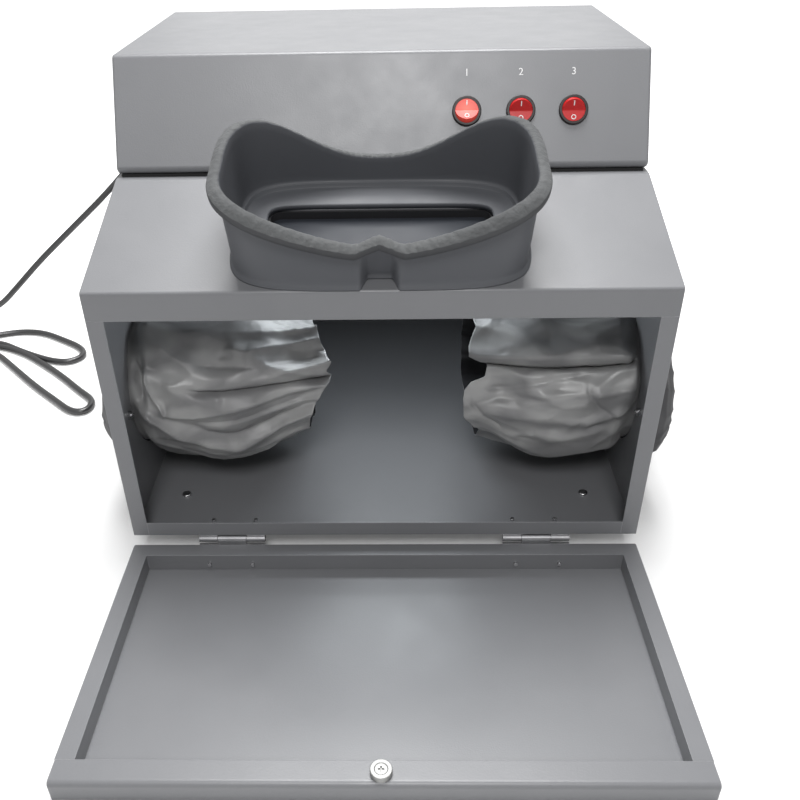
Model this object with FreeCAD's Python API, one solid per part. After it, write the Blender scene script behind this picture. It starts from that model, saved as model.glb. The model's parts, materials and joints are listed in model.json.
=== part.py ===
import FreeCAD, Part
import math
import os

from FreeCAD import Placement, Rotation, Vector

# A bench cabinet for looking at samples under ultraviolet light in the dark: a folded steel
# cabinet with a drop-down front door, two arm ports with cloth sleeves, a rubber eye mask over
# a viewing window, and a lamp housing on top. Millimetres, +Z up, +Y to the back, +X to the
# operator's right. The origin is the centre of the whole object's footprint, on the bench.
# Lengths below are counted from the cabinet's front face (Y) and underside (Z); save() moves
# every piece from there to the part's own frame.

# Cabinet
WIDTH = 380.0
DEPTH = 360.0
FRONT_HEIGHT = 200.0
LEDGE_Y = 113.0
LEDGE_HEIGHT = 237.0
LEDGE_DEEP = 20.0
SHEET = 1.2
BEND = 2.4
LEDGE_BEND = 8.0
STILE = 11.6
TOP_RAIL = 19.8
BOTTOM_RAIL = 11.6
REAR_FLANGE = 14.0

# Lamp housing
HOUSING_FRONT_Y = 115.5
HOUSING_TOP = 313.0
HOUSING_LEAN = 27.0
HOUSING_BEND = 4.0
SEAM = 1.8
SEAL_INSET = 3.0
SEAL_WIDE = 9.0

# Drop-down door
DOOR_THICK = 15.3
DOOR_OVERHANG = 2.0
DOOR_RIM = 12.0
DOOR_BAR = 16.0
DOOR_BAR_EDGE = 3.5
DOOR_GAP = 4.2
MAGNET_RADIUS = 6.5
MAGNET_PROUD = 3.8
MAGNET_EDGE = 8.0
MAGNET_SCREW_RADIUS = 4.0

# Hinges
HINGE_X = 115.0
HINGE_LENGTH = 50.0
HINGE_SHEET = 1.2
KNUCKLE_RADIUS = 2.6
KNUCKLE_MIDDLE = 21.5
KNUCKLE_CLEAR = 0.3
KNUCKLE_SEAT = 0.4
PIN_RADIUS = 1.2
PIN_CLEAR = 0.06
PIN_Y = -0.5
HINGE_LEAF = 24.0
HINGE_SCREW_Y = 15.0
HINGE_SCREW_PITCH = 32.4
DOOR_LEAF = 13.0
DOOR_SCREW_DROP = 8.5

# Screws and feet
SCREW_RADIUS = 1.5
SCREW_HEAD_RADIUS = 3.0
SCREW_HEAD = 1.8
SCREW_CLEAR = 0.1
FOOT_SCREW_RADIUS = 2.0
FOOT_SCREW_HEAD_RADIUS = 3.6
FOOT_X = 159.0
FOOT_INSET = 48.0
FOOT_TOP_RADIUS = 12.5
FOOT_BASE_RADIUS = 10.5
FOOT_SCREW_DEEP = 14.0
FOOT_ROUND = 1.5

# Arm ports
PORT_Y = 102.0
PORT_Z = 85.0
PORT_RADIUS = 56.0
PORT_RING_OUTER = 71.0
PORT_RING_SHEET = 2.0
PORT_SCREW_CIRCLE = 64.5
PORT_SCREWS = 4
CLOTH = 2.4
CLOTH_GAP = 0.3
CUFF_REACH = 34.0
CUFF_BULGE = 62.0
CUFF_MOUTH = 34.0
CUFF_SHOULDER = 7.0
CUFF_BELLY = 17.0
CUFF_LIP = 8.0
CUFF_ROUND_DROP = 4.0
CUFF_LIP_RISE = 15.0
SLEEVE_BULGE = 62.0
SLEEVE_MOUTH = 44.0
SLEEVE_LEFT_END = 54.0
SLEEVE_RIGHT_END = 66.0

# Viewing window and eye mask, measured along the sloping panel and square to it
WINDOW_WIDE = 152.0
WINDOW_NEAR = 26.0
WINDOW_FAR = 82.0
WINDOW_CORNER = 8.0
GLASS_LAP = 7.0
GLASS_THICK = 3.0
GLASS_SET = 6.0
FRAME_LAP = 5.0
FRAME_LIP = 2.0
MASK_HALF_WIDE = 96.0
MASK_NEAR = 2.0
MASK_FAR = 106.0
MASK_SQUARENESS = 4.5
MASK_FLARE_SIDE = 0.035
MASK_FLARE_BACK = 0.10
MASK_WALL = 2.6
MASK_FLOOR = 4.0
MASK_SAMPLES = 56
BEAD_OUT = 5.0
BEAD_HIGH = 9.0
RIM_FRONT = 34.0
RIM_FRONT_CORNER = 64.0
RIM_SIDE = 61.0
RIM_BACK_CORNER = 57.5
RIM_BACK = 23.6
NOSE_HALF_WIDE = 13.0
NOSE_DEEP = 11.0
NOSE_RIM_DEEP = 4.5
NOSE_RISE = 1.0

# Rocker switches, measured on the leaning control panel
SWITCH_X = (61.0, 99.0, 136.0)
SWITCH_UP = 41.5
BEZEL_RADIUS = 10.3
BEZEL_PROUD = 2.0
SWITCH_BODY_RADIUS = 9.5
SWITCH_BODY_DEEP = 17.0
SWITCH_HOLE_CLEAR = 0.1
ROCKER_RADIUS = 8.6
ROCKER_CLEAR = 0.25
ROCKER_PIVOT_DEPTH = 3.0
ROCKER_TILT = 12.0
ROCKER_STUB_RADIUS = 1.0
ROCKER_STUB_CLEAR = 0.06
TERMINAL_LONG = 8.0

# Lamps, filters and ballasts inside the housing
FILTER_END_ROOM = 4.0
FILTER_DEEP = 48.0
FILTER_THICK = 4.0
FILTER_LAP_END = 7.0
FILTER_LAP_SIDE = 3.0
CLIP_LAP = 5.0
CLIP_FOOT = 3.0
FILTER_Y = (183.0, 247.0)
WHITE_LAMP_Y = 303.0
WHITE_OPEN_DEEP = 18.0
TUBE_RADIUS = 8.0
TUBE_LONG = 212.0
TUBE_CAP_LONG = 9.0
TUBE_PIN_LONG = 6.0
TUBE_PIN_RADIUS = 1.1
TUBE_HEIGHT = 22.0
HOLDER_THICK = 8.0
HOLDER_WIDE = 20.0
HOLDER_HIGH = 34.0
REFLECTOR_SIDE_ROOM = 1.2
REFLECTOR_RISE = 16.0
REFLECTOR_SHEET = 0.8
BALLAST_SIZE = (30.0, 84.0, 26.0)
BALLAST_X = 158.0
BALLAST_Y = (200.0, 296.0)
TERMINAL_SIZE = (16.0, 52.0, 15.0)
TERMINAL_PLACE = (-158.0, 285.0)

# Back panel
BACK_SCREW_HEIGHTS = (18.0, 126.0, 221.0, 288.0)
VENT_HALF_WIDE = 1.5
VENT_HIGH = 34.0
VENT_PITCH = 9.0
VENTS_PER_SIDE = 8
VENT_MIDDLE_X = 60.0
VENT_Z = 275.0

# Mains lead: its gland, plug and route
CORD_RADIUS = 3.25
GLAND_X = -150.0
GLAND_Z = 262.0
GLAND_LONG = 30.0
GLAND_FLANGE_RADIUS = 8.5
GLAND_FLANGE = 4.0
GLAND_TIP_RADIUS = 4.8
GLAND_NECK_RADIUS = 6.0
GLAND_TAIL = 6.0
PLUG_BODY = (40.0, 24.0, 16.0)
PLUG_ROUND = 3.0
PLUG_NOSE = 16.0
PLUG_NOSE_TIP = 4.4
BLADE_LONG = 17.0
BLADE_WIDE = 6.3
BLADE_THICK = 1.5
BLADE_SPREAD = 7.9
TIE_LOW = 0.8
TIE_THICK = 1.0
TIE_WIDE = 5.0

# Worked out from the sizes above
HALF = WIDTH / 2
INNER = HALF - SHEET
SLOPE = math.degrees(math.atan2(LEDGE_HEIGHT - FRONT_HEIGHT, LEDGE_Y))
PIN_Z = -(KNUCKLE_RADIUS + KNUCKLE_SEAT)
DOOR_BACK_Y = PIN_Y + PIN_Z
DOOR_RIM_Z = PIN_Z - DOOR_GAP - PIN_Y
DOOR_BASE_Z = DOOR_RIM_Z - DOOR_THICK
DOOR_LENGTH = FRONT_HEIGHT + DOOR_OVERHANG
DOOR_FRONT_Y = DOOR_BACK_Y - DOOR_LENGTH
FOOT_HEIGHT = -DOOR_BASE_Z
BACK_FACE_Y = DEPTH - SHEET
FRAME_DEEP = GLASS_SET + GLASS_THICK + FRAME_LIP
FILTER_WIDE = TUBE_LONG - 2 * FILTER_END_ROOM
FILTER_OPEN_WIDE = FILTER_WIDE - 2 * FILTER_LAP_END
FILTER_OPEN_DEEP = FILTER_DEEP - 2 * FILTER_LAP_SIDE
REFLECTOR_HALF_WIDE = FILTER_DEEP / 2 + REFLECTOR_SIDE_ROOM + REFLECTOR_SHEET
HOUSING_BASE = LEDGE_HEIGHT + SEAM
TABLE = -FOOT_HEIGHT
ON_TABLE = TABLE + CORD_RADIUS + 0.05
IN_TIE = ON_TABLE + TIE_THICK + TIE_LOW
TOTAL_BACK_Y = DEPTH + SCREW_HEAD
SHIFT = Vector(0, -(DOOR_FRONT_Y + TOTAL_BACK_Y) / 2, FOOT_HEIGHT)

# The lead's route from the gland, down beside the cabinet and round its open loops
ROUTE = [
    (GLAND_X, DEPTH + GLAND_LONG, GLAND_Z),
    (GLAND_X - 2, 424, 261),
    (-176, 449, 245),
    (-221, 446, 208),
    (-262, 428, 168),
    (-299, 411, 132),
    (-340, 405, 98),
    (-389, 405, 57),
    (-423, 410, 25),
    (-457, 418, -6),
    (-489, 429, ON_TABLE),
    (-520, 437, ON_TABLE),
    (-548, 420, ON_TABLE),
    (-554, 388, ON_TABLE),
    (-533, 363, ON_TABLE),
    (-469, 355.6, IN_TIE),
    (-439, 371.5, ON_TABLE),
    (-417, 378, ON_TABLE),
    (-392, 374.5, ON_TABLE),
    (-366, 358, ON_TABLE),
    (-337.5, 338, ON_TABLE),
    (-328.5, 319, ON_TABLE),
    (-340.5, 305, ON_TABLE),
    (-359, 307.5, ON_TABLE),
    (-380, 317.5, ON_TABLE),
    (-404, 331.5, ON_TABLE),
    (-434, 352, ON_TABLE),
    (-468, 350.1, IN_TIE),
    (-530, 351, ON_TABLE),
    (-567, 345, ON_TABLE),
    (-593, 321, ON_TABLE),
    (-599, 287, ON_TABLE),
    (-580, 258, ON_TABLE),
    (-549, 249.5, ON_TABLE),
    (-519, 266, ON_TABLE),
    (-516, 300, ON_TABLE),
    (-499, 328, ON_TABLE),
    (-467, 335.8, IN_TIE),
    (-433, 334.5, ON_TABLE),
    (-394, 298, ON_TABLE),
    (-359, 261, ON_TABLE),
    (-331, 231.5, ON_TABLE),
    (-311.5, 208.5, ON_TABLE),
    (-297.2, 211, ON_TABLE),
    (-292.7, 224.8, ON_TABLE),
    (-312, 243.5, ON_TABLE),
    (-338, 272, ON_TABLE),
    (-366, 300, ON_TABLE),
    (-398, 327, ON_TABLE),
    (-432, 343.5, ON_TABLE),
    (-467, 342.9, IN_TIE),
    (-497, 341.5, ON_TABLE),
    (-513, 334.6, ON_TABLE),
]
PLUG_FACING = (-0.918, -0.396)
TIE_PLACE = (-468.0, 346.7)
TIE_HALF = 17.6


def box(x0, x1, y0, y1, z0, z1):
    """A block between two corners."""
    return Part.makeBox(x1 - x0, y1 - y0, z1 - z0, Vector(x0, y0, z0))


def rod(start, direction, radius, length):
    """A round bar from a point along a direction."""
    return Part.makeCylinder(radius, length, Vector(*start), Vector(*direction))


def cone(start, direction, near_radius, far_radius, length):
    """A tapered round bar from a point along a direction."""
    return Part.makeCone(near_radius, far_radius, length, Vector(*start), Vector(*direction))


def joined(pieces):
    """One shape fused from several, without the seams between them."""
    return pieces[0].fuse(pieces[1:]).removeSplitter()


def corner(before, point, after, radius):
    """Start, middle and end of the arc that rounds one corner of an outline."""
    to_before = (before - point).normalize()
    to_after = (after - point).normalize()
    half = to_before.getAngle(to_after) / 2
    reach = radius / math.tan(half)
    inward = (to_before + to_after).normalize()
    middle = point + inward * (radius / math.sin(half) - radius)
    return point + to_before * reach, middle, point + to_after * reach


def outline(points, radii=None):
    """A closed outline through points, each corner rounded by its own radius or left sharp."""
    points = [Vector(*p) for p in points]
    radii = radii or [0.0] * len(points)
    edges = []
    ends = []
    for number, (point, radius) in enumerate(zip(points, radii)):
        if radius > 0:
            after = points[(number + 1) % len(points)]
            start, middle, end = corner(points[number - 1], point, after, radius)
            edges.append(Part.Arc(start, middle, end).toShape())
            ends.append((start, end))
        else:
            ends.append((point, point))
    for number, (_, end) in enumerate(ends):
        start = ends[(number + 1) % len(ends)][0]
        if end.distanceToPoint(start) > 1e-6:
            edges.append(Part.LineSegment(end, start).toShape())
    return Part.Wire(Part.__sortEdges__(edges))


def extruded(points, radii, direction):
    """A rounded outline drawn out along a direction."""
    return Part.Face(outline(points, radii)).extrude(Vector(*direction))


def across(points, radii=None, half=HALF):
    """A side profile of (y, z) points drawn out over the width."""
    return extruded([(-half, y, z) for y, z in points], radii, (2 * half, 0, 0))


def rounded_plate(wide, deep, radius, height, centre=(0.0, 0.0), base=0.0):
    """A flat plate with round corners, lying in XY."""
    x, y = centre
    points = [
        (x - wide / 2, y - deep / 2, base),
        (x + wide / 2, y - deep / 2, base),
        (x + wide / 2, y + deep / 2, base),
        (x - wide / 2, y + deep / 2, base),
    ]
    return extruded(points, [radius] * 4, (0, 0, height))


def mirrored(shape):
    """The same piece on the cabinet's other side."""
    return shape.mirror(Vector(0, 0, 0), Vector(1, 0, 0))


def tilted(shape, y, z, angle):
    """A piece drawn flat, with Z outward, set on a face that leans by an angle about X."""
    placed = shape.copy()
    placed.Placement = Placement(Vector(0, y, z), Rotation(Vector(1, 0, 0), angle))
    return placed


def on_slope(shape):
    """Set a piece on the sloping viewing panel: Y runs up the slope from its front edge."""
    return tilted(shape, 0, FRONT_HEIGHT, SLOPE)


def on_control_panel(shape):
    """Set a piece on the leaning control panel: Y runs up from its lower edge."""
    return tilted(shape, HOUSING_FRONT_Y, HOUSING_BASE, 90 - HOUSING_LEAN)


def save(name, shape):
    """Move a piece to the part's frame and write it to its own file."""
    placed = shape.copy()
    placed.translate(SHIFT)
    placed.exportStep(f"parts/{name}.step")
    solids = placed.Solids
    state = "valid" if placed.isValid() else "NOT VALID"
    volume = sum(solid.Volume for solid in solids)
    print(f"{name}: {len(solids)} solids, {len(placed.Faces)} faces, {volume:.0f} mm3, {state}")


def pan_screw(point, outward, length, radius=SCREW_RADIUS, head=SCREW_HEAD_RADIUS):
    """A pan-head screw whose head stands on a face and whose shank goes in behind it."""
    point = Vector(*point)
    outward = Vector(*outward)
    dome = rod(point, outward, head, SCREW_HEAD)
    rims = [e for e in dome.Edges if isinstance(e.Curve, Part.Circle)]
    top = max(rims, key=lambda e: (e.CenterOfMass - point).dot(outward))
    dome = dome.makeFillet(SCREW_HEAD * 0.55, [top])
    return joined([dome, rod(point, -outward, radius, length)])


# Cabinet

def floor_screw_places():
    """Where the foot screws go through the floor."""
    return [
        (side * FOOT_X, y)
        for side in (-1, 1)
        for y in (FOOT_INSET, DEPTH - FOOT_INSET)
    ]


def hinge_screw_xs():
    """Where the hinge screws stand across the width."""
    return [
        side * HINGE_X + end * HINGE_SCREW_PITCH / 2
        for side in (-1, 1)
        for end in (-1, 1)
    ]


def cabinet_floor():
    """The floor plate with its turned-up front rail and rear flange."""
    plate = box(-INNER, INNER, SHEET, DEPTH - 2 * SHEET, 0, SHEET)
    rail = box(-HALF + STILE, HALF - STILE, 0, SHEET, 0, BOTTOM_RAIL)
    flange_half = INNER - REAR_FLANGE
    flange = box(-flange_half, flange_half, BACK_FACE_Y - SHEET, BACK_FACE_Y, 0, REAR_FLANGE)
    floor = joined([plate, rail, flange])
    for x, y in floor_screw_places():
        floor = floor.cut(rod((x, y, -1), (0, 0, 1), FOOT_SCREW_RADIUS + SCREW_CLEAR, SHEET + 2))
    for x in hinge_screw_xs():
        hole = rod((x, HINGE_SCREW_Y, -1), (0, 0, 1), SCREW_RADIUS + SCREW_CLEAR, SHEET + 2)
        floor = floor.cut(hole)
    return floor


def slope_inside(y):
    """Height of the sloping panel's inner face at a depth from the front."""
    rise = (LEDGE_HEIGHT - FRONT_HEIGHT) / LEDGE_Y
    return FRONT_HEIGHT + rise * y - SHEET / math.cos(math.radians(SLOPE))


def slope_inside_end():
    """Depth at which the sloping panel's inner face meets the ledge's underside."""
    rise = (LEDGE_HEIGHT - FRONT_HEIGHT) / LEDGE_Y
    return (LEDGE_HEIGHT - SHEET - slope_inside(0)) / rise


def port_screw_places():
    """The (y, z) places of one arm port's ring screws."""
    places = []
    for number in range(PORT_SCREWS):
        turn = 2 * math.pi * number / PORT_SCREWS
        places.append((
            PORT_Y - PORT_SCREW_CIRCLE * math.cos(turn),
            PORT_Z + PORT_SCREW_CIRCLE * math.sin(turn),
        ))
    return places


def cabinet_side():
    """The right side plate with its front stile, rear flange and arm port hole."""
    stile_top = FRONT_HEIGHT - TOP_RAIL
    points = [
        (0, 0),
        (0, stile_top),
        (SHEET, stile_top),
        (SHEET, slope_inside(SHEET)),
        (slope_inside_end(), LEDGE_HEIGHT - SHEET),
        (BACK_FACE_Y, LEDGE_HEIGHT - SHEET),
        (BACK_FACE_Y, 0),
    ]
    radii = [0, 0, 0, 0, LEDGE_BEND - SHEET, 0, 0]
    plate = extruded([(INNER, y, z) for y, z in points], radii, (SHEET, 0, 0))
    stile = box(HALF - STILE, INNER, 0, SHEET, 0, stile_top)
    rear_face = BACK_FACE_Y - SHEET
    flange = box(INNER - REAR_FLANGE, INNER, rear_face, BACK_FACE_Y, 0, LEDGE_HEIGHT - SHEET)
    side = joined([plate, stile, flange])
    side = side.cut(rod((INNER - 1, PORT_Y, PORT_Z), (1, 0, 0), PORT_RADIUS, SHEET + 2))
    for y, z in port_screw_places():
        side = side.cut(rod((INNER - 1, y, z), (1, 0, 0), SCREW_RADIUS + SCREW_CLEAR, SHEET + 2))
    return side.cut(Part.makeCompound(back_screw_holes()))


def window_opening(extra=0.0, height=SHEET + 2, base=-SHEET - 1):
    """The viewing window's shape on the slope, larger by a lap on every side."""
    deep = WINDOW_FAR - WINDOW_NEAR + 2 * extra
    middle = (WINDOW_NEAR + WINDOW_FAR) / 2
    return rounded_plate(
        WINDOW_WIDE + 2 * extra, deep, WINDOW_CORNER + extra, height, (0, middle), base
    )


def window_screw_places():
    """Where the window frame's screws stand on the slope."""
    x = WINDOW_WIDE / 2 + GLASS_LAP + FRAME_LAP
    return [(side * x, y) for side in (-1, 1) for y in (WINDOW_NEAR + 6, WINDOW_FAR - 6)]


def hood_panel():
    """Top rail, sloping viewing panel and ledge, folded from one sheet."""
    rail_end = FRONT_HEIGHT - TOP_RAIL
    ledge_end = LEDGE_Y + LEDGE_DEEP
    points = [
        (0, rail_end),
        (0, FRONT_HEIGHT),
        (LEDGE_Y, LEDGE_HEIGHT),
        (ledge_end, LEDGE_HEIGHT),
        (ledge_end, LEDGE_HEIGHT - SHEET),
        (slope_inside_end(), LEDGE_HEIGHT - SHEET),
        (SHEET, slope_inside(SHEET)),
        (SHEET, rail_end),
    ]
    radii = [0, BEND, LEDGE_BEND, 0, 0, LEDGE_BEND - SHEET, BEND - SHEET, 0]
    hood = across(points, radii)
    return hood.cut(on_slope(window_opening()))


def window_frame():
    """The folded frame that holds the glass under the sloping panel."""
    outer = window_opening(GLASS_LAP + FRAME_LAP, FRAME_DEEP, -SHEET - FRAME_DEEP)
    glass_base = -SHEET - GLASS_SET - GLASS_THICK
    pocket = window_opening(GLASS_LAP + CLOTH_GAP, GLASS_THICK, glass_base)
    sight = window_opening(-1.0, FRAME_DEEP + 2, -SHEET - FRAME_DEEP - 1)
    return on_slope(outer.cut(pocket).cut(sight))


def viewing_glass():
    """The ultraviolet-blocking glass under the viewing window."""
    return on_slope(window_opening(GLASS_LAP, GLASS_THICK, -SHEET - GLASS_SET - GLASS_THICK))


def lamp_deck():
    """The flat deck between the chamber and the lamps, with its filter openings."""
    deck = box(-HALF, HALF, LEDGE_Y + LEDGE_DEEP, BACK_FACE_Y, LEDGE_HEIGHT - SHEET, LEDGE_HEIGHT)
    for y in FILTER_Y:
        opening = rounded_plate(
            FILTER_OPEN_WIDE, FILTER_OPEN_DEEP, 3, SHEET + 2, (0, y), LEDGE_HEIGHT - SHEET - 1
        )
        deck = deck.cut(opening)
    slot = rounded_plate(
        FILTER_OPEN_WIDE, WHITE_OPEN_DEEP, 3, SHEET + 2, (0, WHITE_LAMP_Y),
        LEDGE_HEIGHT - SHEET - 1,
    )
    return deck.cut(slot)


def housing_profile(inset):
    """The lamp housing's side profile, moved inward by a wall."""
    lean = math.radians(HOUSING_LEAN)
    front = HOUSING_FRONT_Y + inset / math.cos(lean)
    rise = HOUSING_TOP - HOUSING_BASE
    base = HOUSING_BASE + inset
    top = HOUSING_TOP - inset
    back = BACK_FACE_Y - inset
    return [
        (front + inset * math.tan(lean), base),
        (front + (rise - inset) * math.tan(lean), top),
        (back, top),
        (back, base),
    ]


def housing_cover():
    """The lamp housing's folded cover, with the leaning control panel as its front."""
    radii = [HOUSING_BEND, HOUSING_BEND, 0, 0]
    outer = across(housing_profile(0), radii)
    side_edges = [
        e for e in outer.Edges
        if abs(abs(e.CenterOfMass.x) - HALF) < 1e-6
        and HOUSING_BASE + HOUSING_BEND < e.CenterOfMass.z
        and e.CenterOfMass.y < BACK_FACE_Y - 1
    ]
    outer = outer.makeFillet(HOUSING_BEND / 2, side_edges)
    inner = across(housing_profile(SHEET), [HOUSING_BEND - SHEET] * 2 + [0, 0], INNER)
    cover = outer.cut(inner)
    flange = SEAL_INSET + SEAL_WIDE
    low = HOUSING_FRONT_Y + flange
    below = box(-HALF + flange, HALF - flange, low, BACK_FACE_Y + 1, HOUSING_BASE - 1,
                HOUSING_BASE + SHEET + 1)
    behind = box(-HALF + flange, HALF - flange, BACK_FACE_Y - SHEET - 1, BACK_FACE_Y + 1,
                 HOUSING_BASE - 1, HOUSING_TOP - flange)
    cover = cover.cut(below).cut(behind)
    for x in SWITCH_X:
        hole = rod((x, SWITCH_UP, -SHEET - 5), (0, 0, 1),
                   SWITCH_BODY_RADIUS + SWITCH_HOLE_CLEAR, SHEET + 10)
        cover = cover.cut(on_control_panel(hole))
    return cover.cut(Part.makeCompound(back_screw_holes()))


def housing_seal():
    """The dark foam strip between the cover's lower edge and the deck."""
    near = HOUSING_FRONT_Y + SEAL_INSET
    far = BACK_FACE_Y
    half = HALF - SEAL_INSET
    ring = box(-half, half, near, far, LEDGE_HEIGHT, HOUSING_BASE)
    hole = box(-half + SEAL_WIDE, half - SEAL_WIDE, near + SEAL_WIDE, far + 1,
               LEDGE_HEIGHT - 1, HOUSING_BASE + 1)
    return ring.cut(hole)


def back_screw_places():
    """The (x, z) places of the back panel's screws."""
    x = INNER - REAR_FLANGE / 2
    return [(side * x, z) for side in (-1, 1) for z in BACK_SCREW_HEIGHTS]


def back_screw_holes():
    """The holes for the back panel's screws."""
    return [
        rod((x, BACK_FACE_Y - SHEET - 1, z), (0, 1, 0), SCREW_RADIUS + SCREW_CLEAR, 4 * SHEET)
        for x, z in back_screw_places()
    ]


def back_panel():
    """The screwed-on back, with cooling slots behind the lamps and the cord's hole."""
    points = [
        (-HALF, BACK_FACE_Y, 0),
        (-HALF, BACK_FACE_Y, HOUSING_TOP),
        (HALF, BACK_FACE_Y, HOUSING_TOP),
        (HALF, BACK_FACE_Y, 0),
    ]
    panel = extruded(points, [0, HOUSING_BEND / 2, HOUSING_BEND / 2, 0], (0, SHEET, 0))
    cuts = back_screw_holes()
    cuts.append(rod((GLAND_X, BACK_FACE_Y - 1, GLAND_Z), (0, 1, 0),
                    GLAND_NECK_RADIUS + SCREW_CLEAR, SHEET + 2))
    for side in (-1, 1):
        for number in range(VENTS_PER_SIDE):
            x = side * VENT_MIDDLE_X + (number - (VENTS_PER_SIDE - 1) / 2) * VENT_PITCH
            slot = [
                (x - VENT_HALF_WIDE, BACK_FACE_Y - 1, VENT_Z - VENT_HIGH / 2),
                (x + VENT_HALF_WIDE, BACK_FACE_Y - 1, VENT_Z - VENT_HIGH / 2),
                (x + VENT_HALF_WIDE, BACK_FACE_Y - 1, VENT_Z + VENT_HIGH / 2),
                (x - VENT_HALF_WIDE, BACK_FACE_Y - 1, VENT_Z + VENT_HIGH / 2),
            ]
            cuts.append(extruded(slot, [VENT_HALF_WIDE * 0.95] * 4, (0, SHEET + 2, 0)))
    return panel.cut(Part.makeCompound(cuts))


def back_screws():
    """The screws that hold the back panel."""
    return Part.makeCompound([
        pan_screw((x, DEPTH, z), (0, 1, 0), 3 * SHEET + 3) for x, z in back_screw_places()
    ])


def rubber_feet():
    """Four tapered rubber feet with a bore for their screws."""
    feet = []
    for x, y in floor_screw_places():
        foot = cone((x, y, TABLE), (0, 0, 1), FOOT_BASE_RADIUS, FOOT_TOP_RADIUS, FOOT_HEIGHT)
        low = [e for e in foot.Edges if abs(e.CenterOfMass.z - TABLE) < 1e-6]
        foot = foot.makeFillet(FOOT_ROUND, low)
        bore = rod((x, y, -FOOT_SCREW_DEEP - 1), (0, 0, 1),
                   FOOT_SCREW_RADIUS + SCREW_CLEAR, FOOT_SCREW_DEEP + 2)
        feet.append(foot.cut(bore))
    return Part.makeCompound(feet)


def foot_screws():
    """The screws through the floor that hold the feet."""
    return Part.makeCompound([
        pan_screw((x, y, SHEET), (0, 0, 1), SHEET + FOOT_SCREW_DEEP,
                  FOOT_SCREW_RADIUS, FOOT_SCREW_HEAD_RADIUS)
        for x, y in floor_screw_places()
    ])


# Hinges and door

def knuckles(side, middle):
    """One hinge's knuckle barrels: the middle one, or the two outer ones."""
    half = KNUCKLE_MIDDLE / 2
    centre = side * HINGE_X
    if middle:
        spans = [(centre - half, centre + half)]
    else:
        out = HINGE_LENGTH / 2
        inner = half + KNUCKLE_CLEAR
        spans = [(centre - out, centre - inner), (centre + inner, centre + out)]
    return [rod((x0, PIN_Y, PIN_Z), (1, 0, 0), KNUCKLE_RADIUS, x1 - x0) for x0, x1 in spans]


def knuckle_notches(side, middle):
    """The room that a leaf leaves round the other leaf's knuckles."""
    half = KNUCKLE_MIDDLE / 2
    centre = side * HINGE_X
    out = HINGE_LENGTH / 2 + 1
    clear = KNUCKLE_RADIUS + KNUCKLE_SEAT
    if middle:
        spans = [(centre - out, centre - half), (centre + half, centre + out)]
    else:
        inner = half + KNUCKLE_CLEAR
        spans = [(centre - inner, centre + inner)]
    return [
        box(x0, x1, PIN_Y - clear, PIN_Y + clear, PIN_Z - clear, PIN_Z + clear + 1)
        for x0, x1 in spans
    ]


def hinge_bores():
    """The holes for both hinge pins."""
    return [
        rod((side * HINGE_X - HINGE_LENGTH, PIN_Y, PIN_Z), (1, 0, 0),
            PIN_RADIUS + PIN_CLEAR, 2 * HINGE_LENGTH)
        for side in (-1, 1)
    ]


def cabinet_hinge_leaves():
    """The hinge leaves under the cabinet floor, each with two knuckles."""
    leaves = []
    for side in (-1, 1):
        x = side * HINGE_X
        out = HINGE_LENGTH / 2
        plate = box(x - out, x + out, PIN_Y, HINGE_LEAF, -HINGE_SHEET, 0)
        plate = plate.cut(Part.makeCompound(knuckle_notches(side, False)))
        leaf = joined([plate, *knuckles(side, False)])
        leaves.append(leaf)
    holes = [
        rod((x, HINGE_SCREW_Y, -HINGE_SHEET - 1), (0, 0, 1),
            SCREW_RADIUS + SCREW_CLEAR, HINGE_SHEET + 2)
        for x in hinge_screw_xs()
    ]
    return Part.makeCompound([
        leaf.cut(Part.makeCompound(holes + hinge_bores())) for leaf in leaves
    ])


def door_hinge_leaves():
    """The hinge leaves on the door's lower edge, each with its middle knuckle."""
    leaves = []
    for side in (-1, 1):
        x = side * HINGE_X
        out = HINGE_LENGTH / 2
        low = DOOR_RIM_Z - DOOR_LEAF
        plate = box(x - out, x + out, DOOR_BACK_Y, DOOR_BACK_Y + HINGE_SHEET, low, PIN_Z)
        plate = plate.cut(Part.makeCompound(knuckle_notches(side, True)))
        leaves.append(joined([plate, *knuckles(side, True)]))
    height = DOOR_RIM_Z - DOOR_SCREW_DROP
    holes = [
        rod((x, DOOR_BACK_Y - 1, height), (0, 1, 0), SCREW_RADIUS + SCREW_CLEAR, HINGE_SHEET + 2)
        for x in hinge_screw_xs()
    ]
    return Part.makeCompound([
        leaf.cut(Part.makeCompound(holes + hinge_bores())) for leaf in leaves
    ])


def hinge_pins():
    """The two hinge pins."""
    return Part.makeCompound([
        rod((side * HINGE_X - HINGE_LENGTH / 2, PIN_Y, PIN_Z), (1, 0, 0), PIN_RADIUS, HINGE_LENGTH)
        for side in (-1, 1)
    ])


def cabinet_hinge_screws():
    """Screws up through the hinge leaves and the floor, their tips inside the chamber."""
    return Part.makeCompound([
        pan_screw((x, HINGE_SCREW_Y, -HINGE_SHEET), (0, 0, -1), HINGE_SHEET + SHEET + 1.8)
        for x in hinge_screw_xs()
    ])


def door_hinge_screws():
    """Screws through the door's hinge leaves, their tips inside the tray."""
    height = DOOR_RIM_Z - DOOR_SCREW_DROP
    inward = HINGE_SHEET + DOOR_RIM + 1.8
    return Part.makeCompound([
        pan_screw((x, DOOR_BACK_Y + HINGE_SHEET, height), (0, 1, 0), inward)
        for x in hinge_screw_xs()
    ])


def door_screw_holes():
    """The holes for the hinge screws through the door's back wall."""
    height = DOOR_RIM_Z - DOOR_SCREW_DROP
    return [
        rod((x, DOOR_BACK_Y + 1, height), (0, -1, 0), SCREW_RADIUS + SCREW_CLEAR, DOOR_RIM + 3)
        for x in hinge_screw_xs()
    ]


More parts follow.
